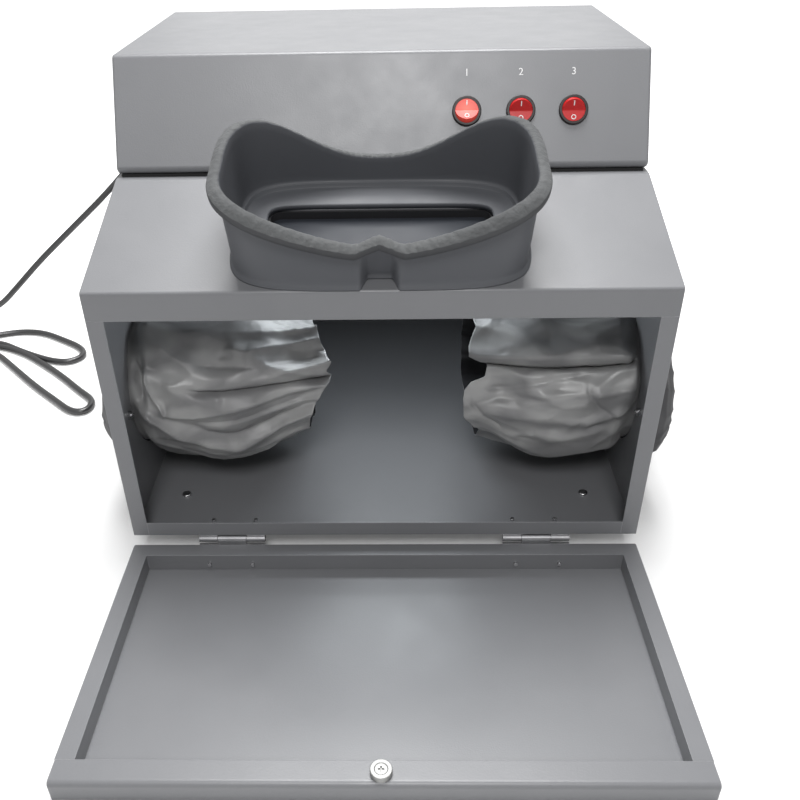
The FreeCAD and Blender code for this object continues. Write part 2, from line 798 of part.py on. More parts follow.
def door_skin():
    """The door's outer tray: skin, two side walls and the wall that carries the hinges."""
    bar_back = DOOR_FRONT_Y + DOOR_BAR
    wall_top = DOOR_RIM_Z - SHEET
    tray = box(-HALF, HALF, bar_back, DOOR_BACK_Y, DOOR_BASE_Z, wall_top)
    upright = [
        e for e in tray.Edges
        if abs(e.CenterOfMass.y - DOOR_BACK_Y) < 1e-6 and abs(abs(e.CenterOfMass.x) - HALF) < 1e-6
    ]
    tray = tray.makeFillet(BEND / 2, upright)
    inside = box(-INNER, INNER, bar_back - 1, DOOR_BACK_Y - SHEET, DOOR_BASE_Z + SHEET, wall_top + 1)
    lip = box(-INNER, INNER, DOOR_FRONT_Y + SHEET, bar_back, DOOR_BASE_Z, DOOR_BASE_Z + SHEET)
    skin = joined([tray.cut(inside), lip])
    return skin.cut(Part.makeCompound(door_screw_holes()))


def door_rim():
    """The door's inner rim: a flat top flange with a wall down to the skin."""
    bar_back = DOOR_FRONT_Y + DOOR_BAR
    outer = rounded_frame_outline(HALF, bar_back, DOOR_BACK_Y, BEND / 2)
    flange = outer.extrude(Vector(0, 0, SHEET))
    flange.translate(Vector(0, 0, DOOR_RIM_Z - SHEET))
    well_half = HALF - DOOR_RIM
    well = box(-well_half, well_half, bar_back - 1, DOOR_BACK_Y - DOOR_RIM,
               DOOR_BASE_Z - 1, DOOR_RIM_Z + 1)
    wall_half = well_half + SHEET
    wall = box(-wall_half, wall_half, bar_back, DOOR_BACK_Y - DOOR_RIM + SHEET,
               DOOR_BASE_Z + SHEET, DOOR_RIM_Z - SHEET)
    rim = joined([flange, wall]).cut(well)
    return rim.cut(Part.makeCompound(door_screw_holes()))


def rounded_frame_outline(half, near, far, radius):
    """A flat face between two depths with its two far corners rounded."""
    points = [(-half, near, 0), (half, near, 0), (half, far, 0), (-half, far, 0)]
    return Part.Face(outline(points, [0, 0, radius, radius]))


def door_front_bar():
    """The door's upper-edge channel that carries the catch, open underneath."""
    bar_back = DOOR_FRONT_Y + DOOR_BAR
    low = DOOR_BASE_Z
    points = [
        (bar_back, DOOR_RIM_Z),
        (DOOR_FRONT_Y, DOOR_RIM_Z),
        (DOOR_FRONT_Y, low),
        (DOOR_FRONT_Y + SHEET, low),
        (DOOR_FRONT_Y + SHEET, DOOR_RIM_Z - SHEET),
        (bar_back - SHEET, DOOR_RIM_Z - SHEET),
        (bar_back - SHEET, low + SHEET),
        (bar_back, low + SHEET),
    ]
    edge = DOOR_BAR_EDGE
    bar = across(points, [0, edge, 0, 0, edge - SHEET, 0, 0, 0])
    corners = [
        e for e in bar.Edges
        if abs(abs(e.CenterOfMass.x) - HALF) < 1e-6
        and e.CenterOfMass.y < DOOR_FRONT_Y + SHEET * 0.5
    ]
    bar = bar.makeChamfer(SHEET * 0.6, corners)
    hole = rod((0, DOOR_FRONT_Y + MAGNET_EDGE, DOOR_RIM_Z - SHEET - 1), (0, 0, 1),
               SCREW_RADIUS + SCREW_CLEAR, SHEET + 2)
    return bar.cut(hole)


def door_magnet():
    """The round catch magnet with its countersunk hole."""
    place = (0, DOOR_FRONT_Y + MAGNET_EDGE, DOOR_RIM_Z)
    disc = rod(place, (0, 0, 1), MAGNET_RADIUS, MAGNET_PROUD)
    rims = [
        e for e in disc.Edges
        if isinstance(e.Curve, Part.Circle) and e.CenterOfMass.z > DOOR_RIM_Z + MAGNET_PROUD / 2
    ]
    disc = disc.makeFillet(0.6, rims)
    bore = rod((0, place[1], DOOR_RIM_Z - 1), (0, 0, 1), SCREW_RADIUS + SCREW_CLEAR, MAGNET_PROUD)
    sink = cone((0, place[1], DOOR_RIM_Z + MAGNET_PROUD - 2.0), (0, 0, 1),
                SCREW_RADIUS + SCREW_CLEAR, MAGNET_SCREW_RADIUS + SCREW_CLEAR, 2.0)
    return disc.cut(bore).cut(sink)


def magnet_screw():
    """The countersunk screw that holds the magnet, with a cross recess."""
    y = DOOR_FRONT_Y + MAGNET_EDGE
    top = DOOR_RIM_Z + MAGNET_PROUD - 0.3
    head = cone((0, y, top - 1.7), (0, 0, 1), SCREW_RADIUS, MAGNET_SCREW_RADIUS - 0.3, 1.7)
    shank = rod((0, y, top - 9), (0, 0, 1), SCREW_RADIUS, 7.3)
    screw = joined([head, shank])
    for long, wide in ((3.6, 0.9), (0.9, 3.6)):
        slot = box(-long / 2, long / 2, y - wide / 2, y + wide / 2, top - 1.1, top + 1)
        screw = screw.cut(slot)
    return screw


# Arm ports

def port_ring():
    """The right flat ring that clamps the sleeve against the cabinet's side."""
    disc = rod((HALF, PORT_Y, PORT_Z), (1, 0, 0), PORT_RING_OUTER, PORT_RING_SHEET)
    cuts = [rod((HALF - 1, PORT_Y, PORT_Z), (1, 0, 0), PORT_RADIUS, PORT_RING_SHEET + 2)]
    for y, z in port_screw_places():
        cuts.append(rod((HALF - 1, y, z), (1, 0, 0), SCREW_RADIUS + SCREW_CLEAR, PORT_RING_SHEET + 2))
    return disc.cut(Part.makeCompound(cuts))


def port_screws():
    """The ring screws of both arm ports, with their nuts inside the chamber."""
    pieces = []
    face = HALF + PORT_RING_SHEET
    for y, z in port_screw_places():
        screw = pan_screw((face, y, z), (1, 0, 0), PORT_RING_SHEET + SHEET + 4)
        nut = rod((INNER - 2.4, y, z), (1, 0, 0), SCREW_HEAD_RADIUS, 2.4)
        piece = joined([screw, nut])
        pieces += [piece, mirrored(piece)]
    return Part.makeCompound(pieces)


def turned(points, radii=None):
    """A closed profile of (x, radius) points turned about the arm port's axis."""
    wire = outline([(x, PORT_Y, PORT_Z + r) for x, r in points], radii)
    face = Part.Face(wire)
    return face.revolve(Vector(0, PORT_Y, PORT_Z), Vector(1, 0, 0), 360)


def cuff():
    """The right outer cuff: cloth gathered outside the port by an elastic mouth."""
    root = HALF + PORT_RING_SHEET
    tip = root + CUFF_REACH
    neck = PORT_RADIUS
    wall = CLOTH
    shoulder = root + CUFF_SHOULDER
    belly = root + CUFF_BELLY
    lip = tip - CUFF_LIP
    round_radius = CUFF_BULGE - CUFF_ROUND_DROP
    lip_radius = CUFF_MOUTH + CUFF_LIP_RISE
    points = [
        (root, neck),
        (shoulder, CUFF_BULGE),
        (belly, round_radius),
        (lip, lip_radius),
        (tip, CUFF_MOUTH + wall),
        (tip, CUFF_MOUTH),
        (tip - wall, CUFF_MOUTH),
        (lip - wall * 0.7, lip_radius - wall * 0.7),
        (belly - wall * 0.3, round_radius - wall),
        (shoulder, CUFF_BULGE - wall),
        (root, neck - wall),
    ]
    return turned(points, [0, 5, 8, 8, 0, 0, 0, 6, 6, 4, 0])


def sleeve(end):
    """An arm sleeve inside the chamber, from the port to its gathered inner end."""
    root = HALF + PORT_RING_SHEET
    neck = PORT_RADIUS
    inside = INNER - CLOTH_GAP
    wall = CLOTH
    middle = (INNER + end) / 2
    points = [
        (root, neck),
        (inside, neck),
        (inside - 16, SLEEVE_BULGE),
        (middle, SLEEVE_BULGE - 3),
        (end + 14, SLEEVE_MOUTH + 8),
        (end, SLEEVE_MOUTH),
        (end, SLEEVE_MOUTH - wall),
        (end + 14, SLEEVE_MOUTH + 8 - wall),
        (middle, SLEEVE_BULGE - 3 - wall),
        (inside - 16, SLEEVE_BULGE - wall),
        (inside, neck - wall),
        (root, neck - wall),
    ]
    return turned(points, [0, 0, 8, 20, 8, 0, 0, 8, 20, 8, 0, 0])


# Eye mask

def smooth(share):
    """A smooth step from 0 to 1."""
    share = min(max(share, 0.0), 1.0)
    return share * share * (3 - 2 * share)


def between(value, stops):
    """A height read off a list of (place, height) stops with smooth steps between them."""
    for (x0, h0), (x1, h1) in zip(stops, stops[1:]):
        if value <= x1:
            return h0 + (h1 - h0) * smooth((value - x0) / (x1 - x0))
    return stops[-1][1]


def mask_plan(turn, inset=0.0, nose_deep=NOSE_DEEP):
    """The mask's outline on the panel: a rounded rectangle with the nose channel in front."""
    middle = (MASK_NEAR + MASK_FAR) / 2
    half_wide = MASK_HALF_WIDE - inset
    half_deep = (MASK_FAR - MASK_NEAR) / 2 - inset
    power = MASK_SQUARENESS
    across_share = abs(math.cos(turn) / half_wide) ** power
    along_share = abs(math.sin(turn) / half_deep) ** power
    reach = (across_share + along_share) ** (-1 / power)
    x = reach * math.cos(turn)
    y = middle + reach * math.sin(turn)
    if math.sin(turn) < 0 and abs(x) < NOSE_HALF_WIDE:
        y += nose_deep * smooth((NOSE_HALF_WIDE - abs(x)) / (NOSE_HALF_WIDE * 0.45))
    return x, y


def rim_height(turn):
    """The rim's height above the panel, which rises at the corners and dips between them."""
    x, y = mask_plan(turn)
    share = abs(x) / MASK_HALF_WIDE
    middle = (MASK_NEAR + MASK_FAR) / 2
    if math.sin(turn) < 0:
        nose = NOSE_RISE * smooth((NOSE_HALF_WIDE - abs(x)) / NOSE_HALF_WIDE)
        front = RIM_FRONT + nose + (RIM_FRONT_CORNER - RIM_FRONT) * max(share - 0.14, 0) ** 1.3 / 0.82
        toward_side = smooth((y - MASK_NEAR - 8) / (middle - MASK_NEAR - 8))
        return front + (RIM_SIDE - front) * toward_side
    back = between(share, [(0, RIM_BACK), (0.3, RIM_BACK + 2), (0.9, RIM_BACK_CORNER)])
    toward_back = smooth((y - middle) / (MASK_FAR - middle - 16))
    return RIM_SIDE + (back - RIM_SIDE) * toward_back


def mask_ring(height, outward=0.0, floor=False):
    """One closed curve round the mask wall, at a height below the rim or above the panel."""
    points = []
    for number in range(MASK_SAMPLES):
        turn = 2 * math.pi * (number + 0.5) / MASK_SAMPLES - math.pi / 2
        x, y = mask_plan(turn, -outward, NOSE_DEEP if floor else NOSE_RIM_DEEP)
        level = height if floor else rim_height(turn) + height
        side = 1 + MASK_FLARE_SIDE * level / MASK_HALF_WIDE
        back = MASK_FLARE_BACK * level * max(math.sin(turn), 0)
        points.append(Vector(x * side, y + back, level))
    curve = Part.BSplineCurve()
    curve.interpolate(points, PeriodicFlag=True)
    return curve.toShape()


def window_ring(height):
    """The closed curve of the sight opening in the mask's floor."""
    middle = (WINDOW_NEAR + WINDOW_FAR) / 2
    half_deep = (WINDOW_FAR - WINDOW_NEAR) / 2
    half_wide = WINDOW_WIDE / 2
    points = []
    for number in range(MASK_SAMPLES):
        turn = 2 * math.pi * (number + 0.5) / MASK_SAMPLES - math.pi / 2
        across_share = abs(math.cos(turn) / half_wide) ** MASK_SQUARENESS
        along_share = abs(math.sin(turn) / half_deep) ** MASK_SQUARENESS
        reach = (across_share + along_share) ** (-1 / MASK_SQUARENESS)
        points.append(Vector(reach * math.cos(turn), middle + reach * math.sin(turn), height))
    curve = Part.BSplineCurve()
    curve.interpolate(points, PeriodicFlag=True)
    return curve.toShape()


def eye_mask():
    """The moulded rubber mask: wall, rolled rim and floor, skinned over its section curves."""
    curves = [
        mask_ring(0.05, floor=True),
        mask_ring(-BEAD_HIGH),
        mask_ring(-BEAD_HIGH + 1.5, BEAD_OUT - 1),
        mask_ring(-3.0, BEAD_OUT),
        mask_ring(-0.8, BEAD_OUT - 1.2),
        mask_ring(0.0, BEAD_OUT - 3),
        mask_ring(-0.8, -0.4),
        mask_ring(-4.0, -MASK_WALL),
        mask_ring(MASK_FLOOR, -MASK_WALL, floor=True),
        window_ring(MASK_FLOOR),
        window_ring(0.05),
    ]
    faces = [
        Part.makeRuledSurface(curve, curves[(number + 1) % len(curves)])
        for number, curve in enumerate(curves)
    ]
    shell = Part.makeCompound(faces)
    shell.sewShape(1e-4)
    solid = Part.makeSolid(shell.Shells[0])
    if solid.Volume < 0:
        solid.reverse()
    return on_slope(solid)


# Switches

def switch_body(x):
    """One round switch body with its bezel, spherical well and terminals."""
    bezel = rod((x, SWITCH_UP, 0), (0, 0, 1), BEZEL_RADIUS, BEZEL_PROUD)
    rims = [e for e in bezel.Edges
            if isinstance(e.Curve, Part.Circle) and e.CenterOfMass.z > BEZEL_PROUD / 2]
    bezel = bezel.makeFillet(BEZEL_PROUD * 0.4, rims)
    barrel = rod((x, SWITCH_UP, -SWITCH_BODY_DEEP), (0, 0, 1), SWITCH_BODY_RADIUS, SWITCH_BODY_DEEP)
    pivot = BEZEL_PROUD - ROCKER_PIVOT_DEPTH
    well = Part.makeSphere(ROCKER_RADIUS + ROCKER_CLEAR, Vector(x, SWITCH_UP, pivot))
    stubs = rod((x - SWITCH_BODY_RADIUS - 1, SWITCH_UP, pivot), (1, 0, 0),
                ROCKER_STUB_RADIUS + ROCKER_STUB_CLEAR, 2 * SWITCH_BODY_RADIUS + 2)
    blades = [
        box(x + shift - 2.4, x + shift + 2.4, SWITCH_UP + rise - 0.4, SWITCH_UP + rise + 0.4,
            -SWITCH_BODY_DEEP - TERMINAL_LONG, -SWITCH_BODY_DEEP + 1)
        for shift, rise in ((0, -5.5), (0, 0), (0, 5.5))
    ]
    return on_control_panel(joined([bezel, barrel, *blades]).cut(well).cut(stubs))


def switch_bodies():
    """The three switch bodies."""
    return Part.makeCompound([switch_body(x) for x in SWITCH_X])


def rocker(x, tilt):
    """One round rocker: a ball with a shallow V for its face, tilted to its resting side."""
    ball = Part.makeSphere(ROCKER_RADIUS)
    low = -3.0
    valley = ROCKER_PIVOT_DEPTH
    reach = ROCKER_RADIUS + 1
    rise = reach * math.tan(math.radians(ROCKER_TILT))
    points = [
        (-reach, -reach, low),
        (-reach, reach, low),
        (-reach, reach, valley + rise),
        (-reach, 0, valley),
        (-reach, -reach, valley + rise),
    ]
    block = extruded(points, [0, 0, 0, 3.0, 0], (2 * reach, 0, 0))
    stub_half = SWITCH_BODY_RADIUS - 0.2
    stubs = rod((-stub_half, 0, 0), (1, 0, 0), ROCKER_STUB_RADIUS, 2 * stub_half)
    shape = joined([ball.common(block), stubs])
    shape.rotate(Vector(0, 0, 0), Vector(1, 0, 0), tilt)
    shape.translate(Vector(x, SWITCH_UP, BEZEL_PROUD - ROCKER_PIVOT_DEPTH))
    return on_control_panel(Part.makeCompound([shape]))


# Lamps and electrics

def lamp_rows():
    """The depth of each lamp row."""
    return [*FILTER_Y, WHITE_LAMP_Y]


def filter_glass(y):
    """One filter glass lying over its opening in the deck."""
    return rounded_plate(FILTER_WIDE, FILTER_DEEP, 2, FILTER_THICK, (0, y), LEDGE_HEIGHT)


def filter_clips():
    """Folded clips that hold each filter glass down on the deck."""
    clips = []
    for y in FILTER_Y:
        for side in (-1, 1):
            near = side * (FILTER_WIDE / 2 - CLIP_LAP)
            edge = side * FILTER_WIDE / 2
            far = side * (FILTER_WIDE / 2 + CLIP_FOOT)
            top = LEDGE_HEIGHT + FILTER_THICK
            strap = box(min(near, far), max(near, far), y - 6, y + 6, top, top + 1)
            leg = box(min(edge, far), max(edge, far), y - 6, y + 6, LEDGE_HEIGHT, top)
            clips.append(joined([strap, leg]))
    return Part.makeCompound(clips)


def tube(y):
    """One fluorescent lamp's glass tube."""
    long = TUBE_LONG - 2 * TUBE_CAP_LONG
    return rod((-long / 2, y, LEDGE_HEIGHT + TUBE_HEIGHT), (1, 0, 0), TUBE_RADIUS, long)


def tube_caps():
    """The metal end caps of the three lamps, with their contact pins."""
    caps = []
    for y in lamp_rows():
        for side in (-1, 1):
            inner = side * (TUBE_LONG / 2 - TUBE_CAP_LONG)
            outer = side * TUBE_LONG / 2
            z = LEDGE_HEIGHT + TUBE_HEIGHT
            cap = rod((inner, y, z), (side, 0, 0), TUBE_RADIUS + 0.4, TUBE_CAP_LONG)
            pins = [
                rod((outer, y + step, z), (side, 0, 0), TUBE_PIN_RADIUS, TUBE_PIN_LONG)
                for step in (-2.5, 2.5)
            ]
            caps.append(joined([cap, *pins]))
    return Part.makeCompound(caps)


def tube_holders():
    """The sockets that stand on the deck and hold each lamp's pins."""
    holders = []
    for y in lamp_rows():
        for side in (-1, 1):
            near = side * (TUBE_LONG / 2 + CLOTH_GAP)
            far = near + side * HOLDER_THICK
            foot = LEDGE_HEIGHT
            block = box(min(near, far), max(near, far), y - HOLDER_WIDE / 2, y + HOLDER_WIDE / 2,
                        foot, foot + HOLDER_HIGH)
            top = [e for e in block.Edges
                   if abs(e.CenterOfMass.z - foot - HOLDER_HIGH) < 1e-6
                   and abs(abs(e.CenterOfMass.y - y) - HOLDER_WIDE / 2) < 1e-6]
            block = block.makeFillet(6, top)
            for step in (-2.5, 2.5):
                block = block.cut(rod((near - side, y + step, foot + TUBE_HEIGHT), (side, 0, 0),
                                      TUBE_PIN_RADIUS + 0.05, TUBE_PIN_LONG + 2))
            holders.append(block)
    return Part.makeCompound(holders)


def reflectors():
    """A folded bright reflector over each lamp, standing on the deck."""
    pieces = []
    half_long = TUBE_LONG / 2 - 4
    top = LEDGE_HEIGHT + TUBE_HEIGHT + REFLECTOR_RISE
    for y in lamp_rows():
        low = LEDGE_HEIGHT
        half = REFLECTOR_HALF_WIDE
        sheet = REFLECTOR_SHEET
        shoulder = half * 0.45
        skirt = low + FILTER_THICK + 1
        points = [
            (y - half, low),
            (y - half, skirt),
            (y - shoulder, top),
            (y + shoulder, top),
            (y + half, skirt),
            (y + half, low),
            (y + half - sheet, low),
            (y + half - sheet, skirt - sheet * 0.3),
            (y + shoulder - sheet * 0.8, top - sheet),
            (y - shoulder + sheet * 0.8, top - sheet),
            (y - half + sheet, skirt - sheet * 0.3),
            (y - half + sheet, low),
        ]
        pieces.append(across(points, None, half_long))
    return Part.makeCompound(pieces)


def ballasts():
    """Two choke ballasts on the deck beside the lamps."""
    wide, deep, high = BALLAST_SIZE
    pieces = []
    for y in BALLAST_Y:
        core = box(BALLAST_X - wide / 2, BALLAST_X + wide / 2, y - deep / 2, y + deep / 2,
                   LEDGE_HEIGHT, LEDGE_HEIGHT + high)
        upright = [e for e in core.Edges
                   if abs(e.CenterOfMass.z - LEDGE_HEIGHT - high / 2) < 1e-6]
        pieces.append(core.makeFillet(3, upright))
    return Part.makeCompound(pieces)


def terminal_block():
    """The screw terminal strip where the mains lead is joined."""
    wide, deep, high = TERMINAL_SIZE
    x, y = TERMINAL_PLACE
    block = box(x - wide / 2, x + wide / 2, y - deep / 2, y + deep / 2,
                LEDGE_HEIGHT, LEDGE_HEIGHT + high)
    for number in range(5):
        place = y - deep / 2 + (number + 0.5) * deep / 5
        block = block.cut(rod((x, place, LEDGE_HEIGHT + high - 5), (0, 0, 1), 2.6, 6))
    return block


# Mains lead

def cord_gland():
    """The strain relief in the back panel, tapering to the lead."""
    points = [
        (BACK_FACE_Y - GLAND_TAIL, 0),
        (BACK_FACE_Y - GLAND_TAIL, GLAND_NECK_RADIUS + 1.5),
        (BACK_FACE_Y, GLAND_NECK_RADIUS + 1.5),
        (BACK_FACE_Y, GLAND_NECK_RADIUS),
        (DEPTH, GLAND_NECK_RADIUS),
        (DEPTH, GLAND_FLANGE_RADIUS),
        (DEPTH + GLAND_FLANGE, GLAND_FLANGE_RADIUS),
        (DEPTH + GLAND_FLANGE, GLAND_NECK_RADIUS),
        (DEPTH + GLAND_LONG, GLAND_TIP_RADIUS),
        (DEPTH + GLAND_LONG, 0),
    ]
    radii = [0, 0, 0, 0, 0, 1, 1, 0, 1, 0]
    face = Part.Face(outline([(GLAND_X, y, GLAND_Z + r) for y, r in points], radii))
    return face.revolve(Vector(GLAND_X, 0, GLAND_Z), Vector(0, 1, 0), 360)


def cord_path():
    """The lead's centre line: straight runs joined by tangent arcs, as large as they fit."""
    points = [Vector(*p) for p in ROUTE]
    edges = []
    radii = []
    last = points[0]
    for before, point, after in zip(points, points[1:], points[2:]):
        half = (before - point).getAngle(after - point) / 2
        shorter = min((before - point).Length, (after - point).Length)
        radius = 0.45 * shorter * math.tan(half)
        start, middle, end = corner(before, point, after, radius)
        radii.append(radius)
        edges.append(Part.LineSegment(last, start).toShape())
        edges.append(Part.Arc(start, middle, end).toShape())
        last = end
    edges.append(Part.LineSegment(last, points[-1]).toShape())
    print("cord radii:", " ".join(f"{radius:.0f}" for radius in radii))
    return Part.Wire(edges)


def cord_tube():
    """The mains lead from the gland to the plug."""
    path = cord_path()
    start = Vector(*ROUTE[0])
    direction = (Vector(*ROUTE[1]) - start).normalize()
    section = Part.Wire(Part.Circle(start, direction, CORD_RADIUS).toShape())
    lead = path.makePipeShell([section], True, True)
    area = math.pi * CORD_RADIUS ** 2
    print(f"cord length {path.Length:.0f} mm, volume share {lead.Volume / area / path.Length:.4f}")
    return lead


def plug():
    """The moulded mains plug with its tapered nose and three flat blades."""
    long, wide, high = PLUG_BODY
    nose = cone((0, 0, 0), (1, 0, 0), PLUG_NOSE_TIP, high / 2 - 1, PLUG_NOSE)
    body = box(PLUG_NOSE, PLUG_NOSE + long, -wide / 2, wide / 2, -high / 2, high / 2)
    body = body.makeFillet(PLUG_ROUND, body.Edges)
    face = PLUG_NOSE + long - 0.5
    blades = [
        box(face, face + BLADE_LONG, y - BLADE_THICK / 2, y + BLADE_THICK / 2,
            -BLADE_WIDE / 2, BLADE_WIDE / 2)
        for y in (-BLADE_SPREAD, 0, BLADE_SPREAD)
    ]
    shape = joined([nose, body, *blades])
    dx, dy = PLUG_FACING
    drop = TABLE + high / 2 - ROUTE[-1][2]
    lean = math.degrees(math.asin(min(drop / (PLUG_NOSE + long), 0.5)))
    shape.rotate(Vector(0, 0, 0), Vector(0, 1, 0), -lean)
    shape.rotate(Vector(0, 0, 0), Vector(0, 0, 1), math.degrees(math.atan2(dy, dx)))
    shape.translate(Vector(*ROUTE[-1]))
    return shape


def cord_tie():
    """The flat tie round the loops where they run side by side."""
    x, y = TIE_PLACE
    bands = []
    for extra, wide in ((TIE_THICK, TIE_WIDE), (0.0, TIE_WIDE + 2)):
        half = TIE_HALF - TIE_THICK + extra
        low = TABLE + TIE_THICK - extra
        high = IN_TIE + CORD_RADIUS + TIE_LOW + extra
        points = [(y - half, low), (y + half, low), (y + half, high), (y - half, high)]
        radius = CORD_RADIUS - 0.5 + extra
        bands.append(extruded([(x - wide / 2, *p) for p in points], [radius] * 4, (wide, 0, 0)))
    return bands[0].cut(bands[1])


def main():
    """Build every piece and write it to its own file."""
    os.makedirs("parts", exist_ok=True)
    side = cabinet_side()
    ring = port_ring()
    outer_cuff = cuff()
    save("cabinet_floor", cabinet_floor())
    save("cabinet_side_right", side)
    save("cabinet_side_left", mirrored(side))
    save("hood_panel", hood_panel())
    save("window_frame", window_frame())
    save("viewing_glass", viewing_glass())
    save("lamp_deck", lamp_deck())
    save("housing_cover", housing_cover())
    save("housing_seal", housing_seal())
    save("back_panel", back_panel())
    save("back_screws", back_screws())
    save("rubber_feet", rubber_feet())
    save("foot_screws", foot_screws())
    save("hinge_leaves_cabinet", cabinet_hinge_leaves())
    save("hinge_leaves_door", door_hinge_leaves())
    save("hinge_pins", hinge_pins())
    save("hinge_screws_cabinet", cabinet_hinge_screws())
    save("hinge_screws_door", door_hinge_screws())
    save("door_skin", door_skin())
    save("door_rim", door_rim())
    save("door_front_bar", door_front_bar())
    save("door_magnet", door_magnet())
    save("magnet_screw", magnet_screw())
    save("port_ring_right", ring)
    save("port_ring_left", mirrored(ring))
    save("port_screws", port_screws())
    save("cuff_right", outer_cuff)
    save("cuff_left", mirrored(outer_cuff))
    save("sleeve_right", sleeve(SLEEVE_RIGHT_END))
    save("sleeve_left", mirrored(sleeve(SLEEVE_LEFT_END)))
    save("eye_mask", eye_mask())
    save("switch_bodies", switch_bodies())
    save("rocker_1", rocker(SWITCH_X[0], -ROCKER_TILT))
    save("rocker_2", rocker(SWITCH_X[1], ROCKER_TILT))
    save("rocker_3", rocker(SWITCH_X[2], ROCKER_TILT))
    save("filter_short_wave", filter_glass(FILTER_Y[0]))
    save("filter_long_wave", filter_glass(FILTER_Y[1]))
    save("filter_clips", filter_clips())
    save("tube_short_wave", tube(FILTER_Y[0]))
    save("tube_long_wave", tube(FILTER_Y[1]))
    save("tube_white", tube(WHITE_LAMP_Y))
    save("tube_caps", tube_caps())
    save("tube_holders", tube_holders())
    save("reflectors", reflectors())
    save("ballasts", ballasts())
    save("terminal_block", terminal_block())
    save("cord_gland", cord_gland())
    save("cord_tube", cord_tube())
    save("plug", plug())
    save("cord_tie", cord_tie())


main()
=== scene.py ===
"""Dresses the ultraviolet viewing cabinet: its paint, cloth, rubber, switches, lead and light.

Lengths in the classes are millimetres counted from the cabinet's front face (y), underside (z)
and middle (x). Site moves them to the frame, in metres.
"""

from __future__ import annotations

import json
import logging
import math
from dataclasses import dataclass, field, replace
from enum import Enum

import bmesh
import bpy
import numpy as np
from mathutils import Matrix, Vector

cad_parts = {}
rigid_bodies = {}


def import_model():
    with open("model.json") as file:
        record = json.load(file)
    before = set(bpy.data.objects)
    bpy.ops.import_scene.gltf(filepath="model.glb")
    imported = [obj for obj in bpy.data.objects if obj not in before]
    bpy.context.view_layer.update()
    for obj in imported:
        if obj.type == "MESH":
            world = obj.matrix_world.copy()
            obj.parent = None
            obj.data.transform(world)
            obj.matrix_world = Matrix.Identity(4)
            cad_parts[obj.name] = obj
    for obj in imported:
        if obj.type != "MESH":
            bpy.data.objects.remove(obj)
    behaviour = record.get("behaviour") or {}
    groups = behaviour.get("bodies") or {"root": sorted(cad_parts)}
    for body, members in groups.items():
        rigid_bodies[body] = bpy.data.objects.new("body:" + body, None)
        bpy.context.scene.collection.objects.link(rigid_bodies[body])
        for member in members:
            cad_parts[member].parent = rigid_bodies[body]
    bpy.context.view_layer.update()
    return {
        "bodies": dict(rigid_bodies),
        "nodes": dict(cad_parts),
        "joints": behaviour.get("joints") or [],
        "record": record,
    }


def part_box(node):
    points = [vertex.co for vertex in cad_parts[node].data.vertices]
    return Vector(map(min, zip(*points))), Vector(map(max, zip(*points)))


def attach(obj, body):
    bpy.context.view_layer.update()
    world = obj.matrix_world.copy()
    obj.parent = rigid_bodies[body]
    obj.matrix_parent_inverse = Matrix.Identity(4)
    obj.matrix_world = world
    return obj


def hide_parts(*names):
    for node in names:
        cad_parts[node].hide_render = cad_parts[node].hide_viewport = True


LOG = logging.getLogger("cabinet")
MM = 0.001
TAU = 2 * math.pi
# The cloth's thickness in millimetres, and its length round a port in metres
CLOTH_WALL = 0.7
CLOTH_GIRTH = 0.39


class Side(Enum):
    """The cabinet's two sides, by the sign of x."""

    LEFT = -1
    RIGHT = 1


# Places and surfaces

@dataclass
class Site:
    """Where the cabinet stands in the frame, and how its two leaning panels lie.

    The sloping panel's own axes are x, up the slope, and out of it; the control panel's are x,
    up the panel, and out of it.
    """

    front_height: float = 200.0
    slope: float = math.atan2(37.0, 113.0)
    panel_y: float = 115.5
    panel_z: float = 238.8
    panel_lean: float = math.radians(27.0)
    shift: np.ndarray = field(default_factory=lambda: np.zeros(3))

    def locate(self) -> None:
        """Read the cabinet's place from the corner of its floor."""
        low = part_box("cabinet_floor")[0]
        self.shift = np.array([0.0, low[1] / MM, low[2] / MM])

    def frame(self, points: np.ndarray) -> np.ndarray:
        """Move points from the cabinet's millimetres to the frame's metres.

        Args:
            points: an array whose last axis holds x, y and z.

        Returns:
            The same array in the frame.
        """
        return (np.asarray(points, dtype=float) + self.shift) * MM

    def tilt(self, points: np.ndarray, y: float, z: float, angle: float) -> np.ndarray:
        """Turn flat-lying points about the x axis, then set them at a height and depth.

        Args:
            points: an array of x, up and out.
            y: depth of the turned plane's origin.
            z: height of the turned plane's origin.
            angle: the turn about x, in radians.

        Returns:
            The points in the cabinet's own axes.
        """
        x, up, out = np.moveaxis(np.asarray(points, dtype=float), -1, 0)
        return np.stack([
            x,
            y + up * math.cos(angle) - out * math.sin(angle),
            z + up * math.sin(angle) + out * math.cos(angle),
        ], axis=-1)

    def on_slope(self, points: np.ndarray) -> np.ndarray:
        """Set points of x, up and out on the sloping panel."""
        return self.tilt(points, 0.0, self.front_height, self.slope)

    def on_panel(self, points: np.ndarray) -> np.ndarray:
        """Set points of x, up and out on the leaning control panel."""
        return self.tilt(points, self.panel_y, self.panel_z, math.pi / 2 - self.panel_lean)


SITE = Site()


def link(data: bpy.types.ID, name: str) -> bpy.types.Object:
    """Put a mesh, curve, lamp or camera in the scene under a name.

    Args:
        data: what the object holds.
        name: the object's name.

    Returns:
        The new object.
    """
    piece = bpy.data.objects.new(name, data)
    bpy.context.scene.collection.objects.link(piece)
    return piece


def smooth(share: np.ndarray) -> np.ndarray:
    """Ease from 0 to 1: three times the square less twice the cube, held outside 0 to 1."""
    share = np.clip(share, 0.0, 1.0)
    return share * share * (3 - 2 * share)


def circle(steps: int) -> np.ndarray:
    """Even angles once round, in radians."""
    return np.linspace(0.0, TAU, steps, endpoint=False)


